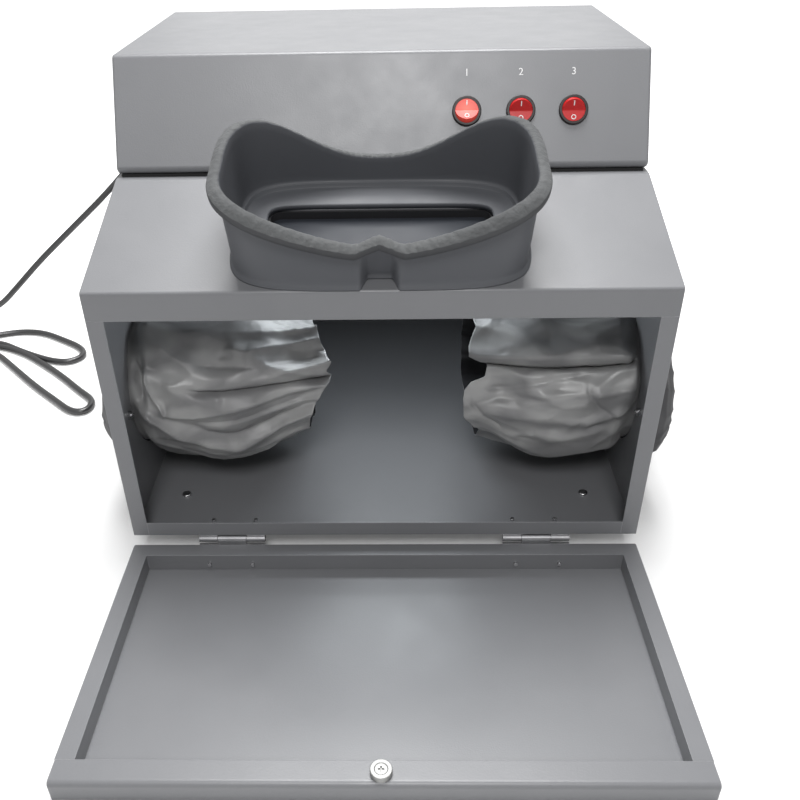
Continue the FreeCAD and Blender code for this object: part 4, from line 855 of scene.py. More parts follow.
@dataclass
class EyeMask:
    """The moulded rubber mask: a plan that rounds a rectangle, carried through one profile.

    The plan is a superellipse, |x/a|^n + |y/b|^n = 1, with a nose channel pushed in at the
    front. The rim's height over the panel rises toward the corners.
    """

    half_wide: float = 96.0
    near: float = 2.0
    far: float = 106.0
    squareness: float = 4.5
    flare_side: float = 0.035
    flare_back: float = 0.10
    wall: float = 2.6
    floor: float = 4.0
    bead_out: float = 5.0
    bead_high: float = 9.0
    rim_front: float = 34.0
    rim_front_corner: float = 64.0
    rim_side: float = 61.0
    rim_back_corner: float = 57.5
    rim_back: float = 25.0
    climb_from: float = 0.14
    climb_bend: float = 1.3
    climb_full: float = 0.82
    side_from: float = 8.0
    back_full: float = 0.93
    back_bend: float = 1.25
    back_short: float = 16.0
    nose_half_wide: float = 13.0
    nose_deep: float = 11.0
    nose_rim_deep: float = 4.5
    nose_rise: float = 3.4
    nose_ease: float = 0.45
    nose_spread: float = 3.0
    window_wide: float = 152.0
    window_near: float = 26.0
    window_far: float = 82.0
    window_squareness: float = 9.0
    wall_rows: int = 9
    lip_rows: int = 6
    steps: int = 400

    def plan(self, turn: np.ndarray, outward_by: float,
             rise: float = 0.0) -> tuple[np.ndarray, np.ndarray]:
        """The outline at an angle round the mask.

        Args:
            turn: angles in radians.
            outward_by: how far outside the middle of the wall.
            rise: 0 at the panel to 1 at the rim, where the nose channel is shallower.

        Returns:
            x and the distance up the slope.
        """
        reach = superellipse(turn, self.half_wide + outward_by,
                             (self.far - self.near) / 2 + outward_by, self.squareness)
        x = reach * np.cos(turn)
        y = (self.near + self.far) / 2 + reach * np.sin(turn)
        ramp = smooth((self.nose_half_wide - np.abs(x)) / (self.nose_half_wide * self.nose_ease))
        tent = np.clip(1 - np.abs(x) / (self.nose_half_wide + self.nose_spread), 0, 1)
        ramp = ramp + (tent - ramp) * rise ** 3
        deep = self.nose_deep + (self.nose_rim_deep - self.nose_deep) * rise
        return x, y + np.where(np.sin(turn) < 0, deep * ramp, 0.0)

    def rim(self, turn: np.ndarray) -> np.ndarray:
        """The rim's height over the panel at an angle round the mask.

        In front it climbs from the nose to the corners with a power of the distance from the
        middle, and then eases to the sides' height. Behind it eases down to the corners' height
        and falls to the middle with a cosine.

        Args:
            turn: angles in radians.

        Returns:
            The heights in millimetres.
        """
        x, y = self.plan(turn, 0.0)
        share = np.abs(x) / self.half_wide
        middle = (self.near + self.far) / 2
        nose = self.nose_rise * np.clip(1 - np.abs(x) / self.nose_half_wide, 0, 1)
        climb = np.maximum(share - self.climb_from, 0) ** self.climb_bend / self.climb_full
        front = self.rim_front + nose + (self.rim_front_corner - self.rim_front) * climb
        toward_side = smooth((y - self.near - self.side_from)
                             / (middle - self.near - self.side_from))
        front = front + (self.rim_side - front) * toward_side
        bend = np.clip(share / self.back_full, 0, 1) ** self.back_bend
        back = self.rim_back + (self.rim_back_corner - self.rim_back) \
            * (0.5 - 0.5 * np.cos(math.pi * bend))
        toward_back = smooth((y - middle) / (self.far - middle - self.back_short))
        back = self.rim_side + (back - self.rim_side) * toward_back
        return np.where(np.sin(turn) < 0, front, back)

    def ring(self, turn: np.ndarray, height: np.ndarray, outward_by: float,
             rise: float = 0.0) -> np.ndarray:
        """One closed line round the mask, leaning outward as it rises.

        Args:
            turn: angles in radians.
            height: how high over the panel it runs, at each angle.
            outward_by: how far outside the middle of the wall.
            rise: 0 at the panel to 1 at the rim.

        Returns:
            Its points, as x, up the slope and out of it.
        """
        x, y = self.plan(turn, outward_by, rise)
        side = 1 + self.flare_side * height / self.half_wide
        back = self.flare_back * height * np.maximum(np.sin(turn), 0)
        return np.stack([x * side, y + back, height], axis=-1)

    def window(self, turn: np.ndarray, height: float) -> np.ndarray:
        """The closed line round the sight opening.

        Args:
            turn: angles in radians.
            height: how high over the panel it runs.

        Returns:
            Its points, as x, up the slope and out of it.
        """
        reach = superellipse(turn, self.window_wide / 2,
                             (self.window_far - self.window_near) / 2, self.window_squareness)
        middle = (self.window_near + self.window_far) / 2
        return np.stack([reach * np.cos(turn), middle + reach * np.sin(turn),
                         np.full_like(turn, height)], axis=-1)

    def build(self, palette: Palette) -> None:
        """Carry the profile round the plan, dress the rim apart from the walls, and colour the lip
        under the bead darker as painted shade.

        The rows run up the outer wall, over the bead at the rim, down the inner wall and in
        over the floor to the sight opening.

        Args:
            palette: the finishes.
        """
        turn = TAU * (np.arange(self.steps) + 0.5) / self.steps - math.pi / 2
        top = self.rim(turn)
        rough = 0.3 * np.abs(np.sin(turn * 47)) + 0.12 * np.sin(turn * 61 + 1.3) - 0.3
        high = self.bead_high
        out = self.bead_out
        bead = [(-high + 1.0, 0.0), (-high + 1.2, out - 1.8), (-high + 1.6, out - 0.6),
                (-high + 2.4, out), (-4.6, out + 0.1), (-2.9, out), (-2.3, out - 0.3),
                (-1.7, out - 1.2), (-0.8, out - 2.6), (0.0, 1.0), (0.0, -1.2),
                (-0.5, -2.2), (-1.6, -self.wall)]
        level = np.ones_like(turn)
        rows = [self.ring(turn, level * height, reach)
                for height, reach in ((0.1, 2.2), (1.2, 2.1), (1.9, 0.4))]
        for share in np.linspace(0.06, 0.94, self.wall_rows):
            rows.append(self.ring(turn, 2.0 + (top - high - 2.0) * share, 0.0, share))
        rim_start = len(rows) + self.lip_rows
        for lift, reach in bead:
            rows.append(self.ring(turn, top + lift + rough * (lift > -2.5), reach, 1.0))
        rim_end = len(rows) - 2
        ledge = self.floor + 3.0
        for share in np.linspace(0.08, 0.96, self.wall_rows):
            rows.append(self.ring(turn, (top - 4.0) + (ledge + 0.6 - top + 4.0) * share,
                                  -self.wall, 1.0 - share))
        for height, inward in ((ledge, 0.5), (ledge, 1.5), (ledge - 0.3, 1.8),
                               (self.floor + 0.3, 2.1), (self.floor, 2.6)):
            rows.append(self.ring(turn, level * height, -self.wall - inward))
        hole = self.window(turn, self.floor)
        rows += [rows[-1] * 0.6 + hole * 0.4, rows[-1] * 0.06 + hole * 0.94,
                 self.window(turn, self.floor - 0.5), self.window(turn, 0.1)]
        mask = surface("eye_mask_rubber", SITE.on_slope(np.stack(rows)), around=True, along=True)
        palette.dress(mask, "mask")
        slots = np.zeros(len(mask.data.polygons), dtype=np.int32)
        # the lip rows under the bead take the darker colour, a painted shade
        parts = {"mask_rim": (rim_start, rim_end),
                 "mask_lip_painted_shade": (rim_start - self.lip_rows, rim_start)}
        for slot, (finish, (first, last)) in enumerate(parts.items(), start=1):
            mask.data.materials.append(palette.get(finish))
            slots[first * self.steps:last * self.steps] = slot
        mask.data.polygons.foreach_set("material_index", slots)
        mask.data.update()
        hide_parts("eye_mask")
        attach(mask, "cabinet")


@dataclass
class Fold:
    """One crest or hollow in the cloth, along a line of x and angle round the sleeve.

    Its section is lift * exp(-distance / reach), with a reach of its own above and below. A
    tuck draws the cloth above the line down over it by that much, as a hanging roll does.
    """

    line: list[tuple[float, float]]
    lift: float
    above: float
    below: float
    tuck: float = 0.0
    cloth_radius: float = 62.0

    def shape(self, x: np.ndarray, angle: np.ndarray) -> tuple[np.ndarray, np.ndarray]:
        """Work out what the fold does at each place on the cloth.

        It fades out over a tenth of its length at each end. Its crest is rounded by taking the
        root of the squared distance plus a little.

        Args:
            x: distance from the cabinet's middle.
            angle: degrees round the sleeve.

        Returns:
            The relief in millimetres, and the tuck in radians round the sleeve.
        """
        line = np.array(sorted(self.line))
        place = np.interp(x, line[:, 0], line[:, 1])
        off = (angle - place + 180) % 360 - 180
        span = line[-1, 0] - line[0, 0]
        fade = smooth((x - line[0, 0] + 0.1 * span) / (0.2 * span)) \
            * smooth((line[-1, 0] + 0.1 * span - x) / (0.2 * span))
        gap = np.radians(off) * self.cloth_radius
        reach = np.where(gap > 0, self.above, self.below)
        section = np.exp(-(np.sqrt(gap ** 2 + 0.35) - 0.59) / reach)
        drawn = smooth((gap - 0.6) / 2.2) * (1 - smooth((gap - 9.0) / 16.0))
        return self.lift * section * fade, self.tuck / self.cloth_radius * drawn * fade


@dataclass
class ArmSleeve:
    """A cloth sleeve inside the chamber: a sagging tube with gathers, folds and crumples.

    Each entry of crumples is how many facets, how much longer than wide, and how steep.
    """

    side: Side
    end: float
    edge: list[tuple[float, float]]
    folds: list[Fold]
    crisp: float
    seed: int
    mouth: float = 46.0
    bulge: float = 62.5
    neck: float = 54.5
    root: float = 190.0
    wall_x: float = 188.8
    centre_y: float = 102.0
    centre_z: float = 85.0
    sag: float = 5.0
    gathers: float = 11.0
    gather_lift: float = 4.0
    shoulder: float = 0.0
    shoulder_at: float = 22.0
    shoulder_half: float = 17.0
    crumples: tuple[tuple[int, float, float], ...] = ((50, 2.4, 0.22), (180, 1.9, 0.1),
                                                      (420, 1.8, 0.05))
    rows: int = 176
    columns: int = 270

    def crumple(self, across: np.ndarray, along: np.ndarray, count: int, stretch: float,
                steep: float, seed: int) -> np.ndarray:
        """Crumpled relief: the nearest of many cones scattered over the cloth.

        Each point takes the lowest of the cones, height = steep times distance, so the cloth
        breaks into facets with sharp crests between them.

        Args:
            across: distance round the sleeve, in millimetres.
            along: distance along it.
            count: how many cones.
            stretch: how much longer than wide each facet is.
            steep: the cones' slope.
            seed: picks the scatter.

        Returns:
            The relief in millimetres, about zero on average.
        """
        rng = np.random.default_rng(seed)
        girth = TAU * self.bulge
        spots = rng.random((count, 2)) * [girth, self.wall_x - self.end + 30]
        lowest = np.full(across.shape, 1e9)
        for spot, level in zip(spots, rng.random(count) * 2.0):
            gap = np.abs(across - spot[0])
            gap = np.minimum(gap, girth - gap)
            distance = np.hypot(gap, (along - spot[1] + 10) / stretch)
            lowest = np.minimum(lowest, distance * steep + level)
        return lowest - lowest.mean()

    def bag(self, share: np.ndarray, angle: np.ndarray, distance: np.ndarray) -> np.ndarray:
        """The smooth bag's radius: it swells from the ring and tapers to the mouth.

        With a shoulder, the swelling starts that much later near one angle.

        Args:
            share: 0 at the port to 1 at the mouth.
            angle: radians round the sleeve.
            distance: millimetres from the port's ring.

        Returns:
            The radius in millimetres.
        """
        hollow = np.exp(-((np.degrees(angle) - self.shoulder_at) / self.shoulder_half) ** 4)
        rise = smooth((distance - 2) / 15.0)
        late = smooth((distance - self.shoulder) / 6.0)
        belly = self.neck + (self.bulge - self.neck) * (rise + (late - rise) * hollow)
        belly -= 4.0 * hollow * (rise - late) * (self.shoulder > 0)
        return belly + (self.mouth - belly) * smooth((share - 0.55) / 0.45)

    def build(self, palette: Palette) -> bpy.types.Object:
        """Work out the cloth's surface and thicken it.

        Radius at a place is the bag's own radius, less the gathers, plus the folds and the
        crumples; the middle line sags with the sine of the share along it.

        Args:
            palette: the finishes.

        Returns:
            The sleeve.
        """
        share = np.linspace(0.0, 1.0, self.rows)[:, None]
        angle = circle(self.columns)[None, :]
        degrees = np.degrees(angle)
        line = np.array(self.edge)
        edge = np.interp((degrees + 150) % 360 - 150, line[:, 0], line[:, 1])
        x = self.root - share * (self.root - (self.end + (edge - self.end) * share ** 2))
        distance = self.root - x
        inside = smooth((distance - 1.5) / 9.0)
        drift = 0.5 * np.sin(share * 3.1 + angle) + 0.35 * np.sin(share * 5.3 - 2 * angle)
        wave = np.abs(np.sin(angle * self.gathers / 2 + drift))
        strength = self.gather_lift * (0.15 + 0.85 * smooth((share - 0.4) / 0.55)) * inside
        radius = self.bag(share, angle, distance) + strength * (0.62 - wave ** 0.7) * 1.6
        turned = np.broadcast_to(angle, radius.shape)
        for fold in self.folds:
            relief, tuck = fold.shape(x, degrees)
            radius = radius + relief * inside
            turned = turned - tuck * inside
        girth = np.broadcast_to(angle * self.bulge, radius.shape)
        run = np.broadcast_to(distance, radius.shape)
        bent = girth + 3.5 * np.sin(run / 17.0 + self.seed)
        crumpled = sum(
            self.crumple(bent, run, count, stretch, steep * self.crisp, self.seed + number)
            for number, (count, stretch, steep) in enumerate(self.crumples))
        radius = radius + inside * (0.45 + 0.55 * inside) * crumpled
        middle_z = self.centre_z - self.sag * np.sin(math.pi * share) * inside
        points = np.stack([self.side.value * x, self.centre_y - radius * np.cos(turned),
                           middle_z + radius * np.sin(turned)], axis=-1)
        sleeve = surface(f"sleeve_cloth_{self.side.name.lower()}", points, around=True,
                         size=(CLOTH_GIRTH, (self.root - self.end) * MM))
        # the inner face takes the next slot, a near-black painted shade for the dark inside of the
        # tube
        thicken(sleeve, inner=1)
        palette.dress(sleeve, "cloth")
        sleeve.data.materials.append(palette.get("sleeve_inside_shade"))
        return sleeve


@dataclass
class OuterCuff:
    """A cloth cuff outside a port: it bulges from the ring and gathers to an elastic mouth."""

    side: Side
    droop: float
    hang: float
    seed: int
    root: float = 192.2
    reach: float = 33.0
    bulge: float = 62.5
    neck: float = 55.5
    mouth: float = 35.0
    centre_y: float = 102.0
    centre_z: float = 85.0
    pleats: int = 22
    pleat_lift: float = 0.7
    rows: int = 90
    columns: int = 360

    def build(self, palette: Palette) -> bpy.types.Object:
        """Work out the cuff: radius by share along it, with pleats that deepen to the mouth.

        Args:
            palette: the finishes.

        Returns:
            The cuff.
        """
        share = np.linspace(0.0, 1.0, self.rows)[:, None]
        angle = circle(self.columns)[None, :]
        stops = np.array([0.0, 0.14, 0.34, 0.55, 0.72, 0.88, 0.95, 1.0])
        radii = np.array([self.neck, self.bulge - 1.5, self.bulge - 0.5, self.bulge - 6.0,
                          self.bulge - 15.0, self.mouth + 4.0, self.mouth + 0.5, self.mouth])
        outs = np.array([0.0, 0.12, 0.4, 0.66, 0.86, 1.0, 1.0, 0.94])
        radius = np.interp(share, stops, radii)
        out = np.interp(share, stops, outs)
        for _ in range(6):
            radius[1:-1] = (radius[:-2] + radius[2:]) / 2 * 0.5 + radius[1:-1] * 0.5
            out[1:-1] = (out[:-2] + out[2:]) / 2 * 0.5 + out[1:-1] * 0.5
        upper = 0.5 + 0.5 * np.sin(angle)
        radius = radius * (1 - self.droop * 0.08 * upper)
        out = out * (1 - self.droop * 0.35 * upper)
        rng = np.random.default_rng(self.seed)
        warp = sum(a * np.sin(k * angle + p) for k, a, p in
                   zip((2, 3, 5), (0.5, 0.35, 0.2), rng.random(3) * TAU))
        wave = np.abs(np.sin(angle * self.pleats / 2 + 3 * warp + 0.8 * share))
        deepen = smooth(share / 0.25) * (0.35 + 0.65 * smooth((share - 0.4) / 0.5))
        radius = radius + self.pleat_lift * deepen * (0.5 - wave ** 0.7)
        broad = np.sin(angle * 4 + 1.2 + 2.0 * share) + 0.6 * np.sin(angle * 7 - 1.5 * share)
        radius = radius + 0.9 * broad * smooth(share / 0.3) * (1 - smooth((share - 0.8) / 0.2))
        push = 0.7 * smooth(share / 0.3) * (0.5 - wave ** 0.7)
        x = self.side.value * (self.root + self.reach * out + push - 1.0)
        low = self.centre_z - self.hang * smooth(out / 0.75)
        points = np.stack([np.broadcast_to(x, radius.shape),
                           self.centre_y - radius * np.cos(angle),
                           low + radius * np.sin(angle)], axis=-1)
        cuff = surface(f"cuff_cloth_{self.side.name.lower()}", points, around=True,
                       size=(CLOTH_GIRTH, 0.05))
        thicken(cuff)
        palette.dress(cuff, "cuff_cloth")
        return cuff


@dataclass
class ArmPorts:
    """Both arm ports' cloth: an inner sleeve and an outer cuff each."""

    left_folds: list[Fold] = field(default_factory=lambda: [
        Fold([(50, -8), (60, -12), (86, -21), (111, -25), (136, -24), (159, -12), (176, -1),
              (190, 6)], 7.5, 3.0, 14.0),
        Fold([(52, -2), (66, -6), (90, -14), (112, -17), (134, -15), (154, -6)],
             -4.0, 7.0, 3.0),
        Fold([(48, 15), (70, 13), (95, 9), (119, 5), (143, 1), (165, 0)], 4.6, 9.0, 2.0),
        Fold([(40, 24), (70, 23), (106, 21), (140, 19)], -7.0, 2.4, 3.2, 3.0),
        Fold([(40, 27), (59, 30), (82, 36), (98, 43)], 4.6, 6.0, 2.2),
        Fold([(46, 60), (82, 51), (100, 46), (114, 49)], 5.4, 6.0, 4.0),
        Fold([(50, 44), (75, 41), (100, 37), (135, 38)], -4.0, 4.0, 5.0),
        Fold([(163, 2), (171, 13), (176, 28), (181, 38)], 3.2, 4.0, 3.0),
        Fold([(80, -38), (110, -47), (150, -40), (178, -22)], 3.4, 4.0, 6.0),
        Fold([(60, 5), (90, 1), (120, -4), (146, -6)], -3.0, 3.0, 5.0),
        Fold([(120, 14), (140, 24), (160, 22)], 2.2, 6.0, 6.0),
    ])
    right_folds: list[Fold] = field(default_factory=lambda: [
        Fold([(60, 39), (93, 38), (121, 37.5), (150, 38), (190, 36)], -15.0, 1.6, 3.4, 6.0),
        Fold([(60, 46), (93, 46), (121, 45), (150, 45), (190, 42)], 7.0, 16.0, 3.0),
        Fold([(64, 33), (100, 33), (150, 31), (190, 30)], 3.0, 3.0, 8.0),
        Fold([(112, 15), (135, 16), (160, 15), (190, 16)], 3.4, 9.0, 2.4),
        Fold([(80, 15), (100, 20), (125, 26), (150, 29)], -2.8, 4.0, 2.5),
        Fold([(70, 2), (85, 8), (105, 11), (120, 11)], -2.6, 4.0, 2.5),
        Fold([(66, 2), (76, -8), (90, -19)], -2.6, 3.0, 3.0),
        Fold([(95, -27), (115, -17), (140, -22), (165, -15)], 2.8, 3.5, 7.0),
        Fold([(150, -10), (170, -4), (190, 4)], 3.0, 4.0, 4.0),
        Fold([(150, 17), (160, 4), (176, -8)], -2.4, 3.0, 5.0),
    ])
    left_edge: list[tuple[float, float]] = field(default_factory=lambda: [
        (-150, 56), (-60, 60), (-20, 56), (-5, 52), (8, 46), (18, 40), (25, 39), (31, 42),
        (37, 38), (44, 42), (50, 43), (59, 47), (90, 54), (150, 58), (210, 56)])
    right_edge: list[tuple[float, float]] = field(default_factory=lambda: [
        (-150, 66), (-45, 78), (-31, 72), (-11, 61), (5, 60), (12, 61), (19, 66), (23, 76),
        (36, 78), (41, 74), (44, 64), (52, 64), (66, 70), (90, 66), (150, 66), (210, 66)])

    def build(self, palette: Palette) -> None:
        """Make the four cloth pieces and fix each to the cabinet.

        Args:
            palette: the finishes.
        """
        sleeves = {
            Side.LEFT: ArmSleeve(Side.LEFT, 52.0, self.left_edge, self.left_folds, 1.3, 11,
                                 shoulder=10.0),
            Side.RIGHT: ArmSleeve(Side.RIGHT, 64.0, self.right_edge, self.right_folds, 1.5, 23,
                                  mouth=51.0, gathers=6.0, gather_lift=0.9),
        }
        cuffs = {
            Side.LEFT: OuterCuff(Side.LEFT, droop=1.0, hang=8.0, seed=6),
            Side.RIGHT: OuterCuff(Side.RIGHT, droop=0.2, hang=17.0, seed=8),
        }
        for side in Side:
            word = side.name.lower()
            for kind, maker, flat in (("sleeve", sleeves[side], (0.40, 0.17)),
                                      ("cuff", cuffs[side], (0.39, 0.05))):
                cloth = maker.build(palette)
                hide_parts(f"{kind}_{word}")
                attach(cloth, "cabinet")


@dataclass
class SwitchRow:
    """Three round rocker switches: their glow, the marks on their rockers and the numerals."""

    places: tuple[float, ...] = (61.0, 99.0, 136.0)
    up: float = 41.5
    bezel_proud: float = 2.0
    pivot_depth: float = 3.0
    face_tilt: float = math.radians(12.0)
    tilts: tuple[float, ...] = (-12.0, 12.0, 12.0)
    glow_up: float = 1.0
    glow_out: float = 0.5
    mark_place: float = 4.7
    mark_high: float = 3.4
    mark_wide: float = 0.75
    ring_radius: float = 1.75
    ring_wide: float = 0.6
    numeral_up: float = 65.5
    numeral_size: float = 7.0
    numeral_thick: float = 0.03
    numeral_out: float = 0.05

    def on_rocker(self, points: np.ndarray, number: int, upper: bool) -> np.ndarray:
        """Set flat points on one half of a rocker's V-shaped face.

        Args:
            points: x, up and out on the half's own plane, from the middle of the face.
            number: which rocker.
            upper: on the upper half.

        Returns:
            The points in the cabinet's axes.
        """
        lean = self.face_tilt if upper else -self.face_tilt
        turned = SITE.tilt(points, 0.0, self.pivot_depth, lean)
        rocked = SITE.tilt(turned, 0.0, 0.0, math.radians(self.tilts[number]))
        rocked = rocked + [self.places[number], self.up, self.bezel_proud - self.pivot_depth]
        return SITE.on_panel(rocked)

    def bar(self, number: int) -> np.ndarray:
        """The upright bar's closed section: a rounded strip swept from base to top.

        Args:
            number: which rocker.

        Returns:
            Its rows of points in the cabinet's axes.
        """
        turn = circle(20)
        x = self.mark_wide / 2 * np.sign(np.cos(turn)) * np.abs(np.cos(turn)) ** 0.4
        y = self.mark_high / 2 * np.sign(np.sin(turn)) * np.abs(np.sin(turn)) ** 0.25
        rows = [np.stack([x * share, self.mark_place + y * share, np.full_like(x, height)], -1)
                for share, height in ((1.0, -0.1), (1.0, 0.06), (0.9, 0.1))]
        return self.on_rocker(np.stack(rows), number, True)

    def ring(self, number: int) -> np.ndarray:
        """The ring mark: a flat band round a circle.

        Args:
            number: which rocker.

        Returns:
            Its rows of points in the cabinet's axes.
        """
        turn = circle(40)
        outer, inner = self.ring_radius, self.ring_radius - self.ring_wide
        rows = [np.stack([radius * np.cos(turn), -self.mark_place + radius * np.sin(turn),
                          np.full_like(turn, height)], -1)
                for radius, height in ((outer, -0.1), (outer, 0.08), (inner, 0.08), (inner, -0.1))]
        return self.on_rocker(np.stack(rows), number, False)

    def numeral(self, number: int, palette: Palette) -> None:
        """A plain printed numeral over one switch.

        Args:
            number: which switch.
            palette: the finishes.
        """
        curve = bpy.data.curves.new(f"numeral_{number + 1}", "FONT")
        curve.body = str(number + 1)
        curve.size = self.numeral_size * MM
        curve.align_x = "CENTER"
        curve.extrude = self.numeral_thick * MM
        text = link(curve, curve.name + "_outline")
        bpy.context.view_layer.update()
        mesh = bpy.data.meshes.new_from_object(text)
        bpy.data.objects.remove(text)
        flat = np.empty(len(mesh.vertices) * 3)
        mesh.vertices.foreach_get("co", flat)
        points = flat.reshape(-1, 3) / MM \
            + [self.places[number], self.numeral_up, self.numeral_out]
        mesh.vertices.foreach_set("co", SITE.frame(SITE.on_panel(points)).ravel())
        mesh.update()
        piece = link(mesh, f"numeral_print_{number + 1}")
        palette.dress(piece, "print")
        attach(piece, "cabinet")

    def build(self, frame: dict, palette: Palette) -> None:
        """Dress the switches and put their marks on.

        Args:
            frame: the loaded frame.
            palette: the finishes.
        """
        palette.dress(frame["nodes"]["switch_bodies"], "bezel")
        middle = np.array([self.places[0], self.up + self.glow_up, self.glow_out])
        glow_centre = tuple(SITE.frame(SITE.on_panel(middle)))
        palette.add("rocker_lit",
                    replace(palette.finishes["rocker_lit"], glow_centre=glow_centre))
        for number in range(len(self.places)):
            body = f"rocker_{number + 1}"
            palette.dress(frame["nodes"][body], "rocker_lit" if number == 0 else "rocker_red")
            bar = surface(f"bar_mark_{number + 1}", self.bar(number), around=True,
                          caps=(True, True))
            ring = surface(f"ring_mark_{number + 1}", self.ring(number), around=True,
                           along=True)
            for mark in (bar, ring):
                palette.dress(mark, "print")
                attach(mark, body)
            self.numeral(number, palette)


@dataclass
class MainsLead:
    """The lead: one smooth line from the strain relief down to its open loops and plug."""

    radius: float = 3.25
    gland_x: float = -150.0
    gland_z: float = 262.0
    gland_long: float = 30.0
    gland_radius: float = 7.2
    gland_taper: float = 2.3
    collar_long: float = 4.0
    collar_radius: float = 8.4
    groove_pitch: float = 3.6
    groove_deep: float = 1.0
    depth: float = 360.0
    table: float = -22.0
    lift: float = 3.3
    tie_lift: float = 1.8
    length: float = 1.855

    def route(self) -> list[tuple[float, float, float]]:
        """The points that the lead follows, as the solid's route gives them.

        Returns:
            The points in the cabinet's millimetres.
        """
        low = self.table + self.lift
        tie = low + self.tie_lift
        hanging = [
            (-150, 390, 262), (-152, 424, 261), (-176, 449, 245), (-221, 446, 208),
            (-262, 428, 168), (-299, 411, 132), (-340, 405, 98), (-389, 405, 57),
            (-423, 410, 25), (-457, 418, -6), (-489, 429, low),
        ]
        lying = [
            (-520, 437), (-548, 420), (-554, 388), (-533, 363), (-469, 355.6),
            (-439, 371.5), (-417, 378), (-392, 374.5), (-366, 358), (-337.5, 338),
            (-328.5, 319), (-340.5, 305), (-359, 307.5), (-380, 317.5), (-404, 331.5),
            (-434, 352), (-468, 350.1), (-530, 351), (-567, 345), (-593, 321), (-599, 287),
            (-580, 258), (-549, 249.5), (-519, 266), (-516, 300), (-499, 328),
            (-467, 335.8), (-433, 331.5), (-396, 292.5), (-361, 255.5), (-331, 227.5),
            (-307, 204.5), (-292, 206.5), (-291, 226), (-312, 246), (-338, 274),
            (-366, 300), (-398, 327), (-432, 343.5), (-467, 342.9), (-497, 341.5),
            (-513, 334.6),
        ]
        held = (-469, -468, -467)
        return hanging + [(x, y, tie if x in held else low) for x, y in lying]

    def lead(self, palette: Palette) -> bpy.types.Object:
        """The lead as a smooth line through the route's points.

        Args:
            palette: the finishes.

        Returns:
            The lead.
        """
        route = SITE.frame(np.array(self.route()))
        curve = bpy.data.curves.new("mains_lead", "CURVE")
        curve.dimensions = "3D"
        line = curve.splines.new("NURBS")
        line.points.add(len(route) - 1)
        line.points.foreach_set("co", np.column_stack([route, np.ones(len(route))]).ravel())
        line.order_u = 3
        line.use_endpoint_u = True
        line.resolution_u = 8
        curve.bevel_depth = self.radius * MM
        curve.bevel_resolution = 6
        curve.use_fill_caps = True
        lead = link(curve, "mains_lead")
        palette.dress(lead, "lead")
        return lead

    def relief(self, palette: Palette) -> bpy.types.Object:
        """The ribbed strain relief: radius falls along it, with a groove every few steps.

        Args:
            palette: the finishes.

        Returns:
            The strain relief.
        """
        along = np.linspace(0, self.gland_long, 61)
        taper = self.gland_radius - self.gland_taper * along / self.gland_long
        wave = np.sin(along * TAU / self.groove_pitch)
        groove = np.where((along > 6) & (along < 27) & (wave > 0.1), self.groove_deep, 0)
        radius = np.where(along < self.collar_long, self.collar_radius, taper - groove)
        radius[0] = 7.8
        profile = np.vstack([[-6.0, 0.0], [-6.0, 6.5], [-1.2, 6.5], [-1.2, 5.9],
                             np.column_stack([along, radius]), [self.gland_long, 3.4]])
        relief = lathe("strain_relief", profile, 40,
                       np.array([self.gland_x, self.depth, self.gland_z]),
                       np.array([0.0, 1.0, 0.0]))
        palette.dress(relief, "lead")
        return relief

    def build(self, frame: dict, palette: Palette) -> None:
        """Args:
            frame: the loaded frame.
            palette: the finishes.
        """
        lead = self.lead(palette)
        relief = self.relief(palette)
        plug, tie = frame["nodes"]["plug"], frame["nodes"]["cord_tie"]
        palette.dress(plug, "lead")
        palette.dress(tie, "tie")
        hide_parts("cord_tube")
        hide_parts("cord_gland")
        for piece in (lead, relief):
            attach(piece, "cabinet")


# Bench, light and camera

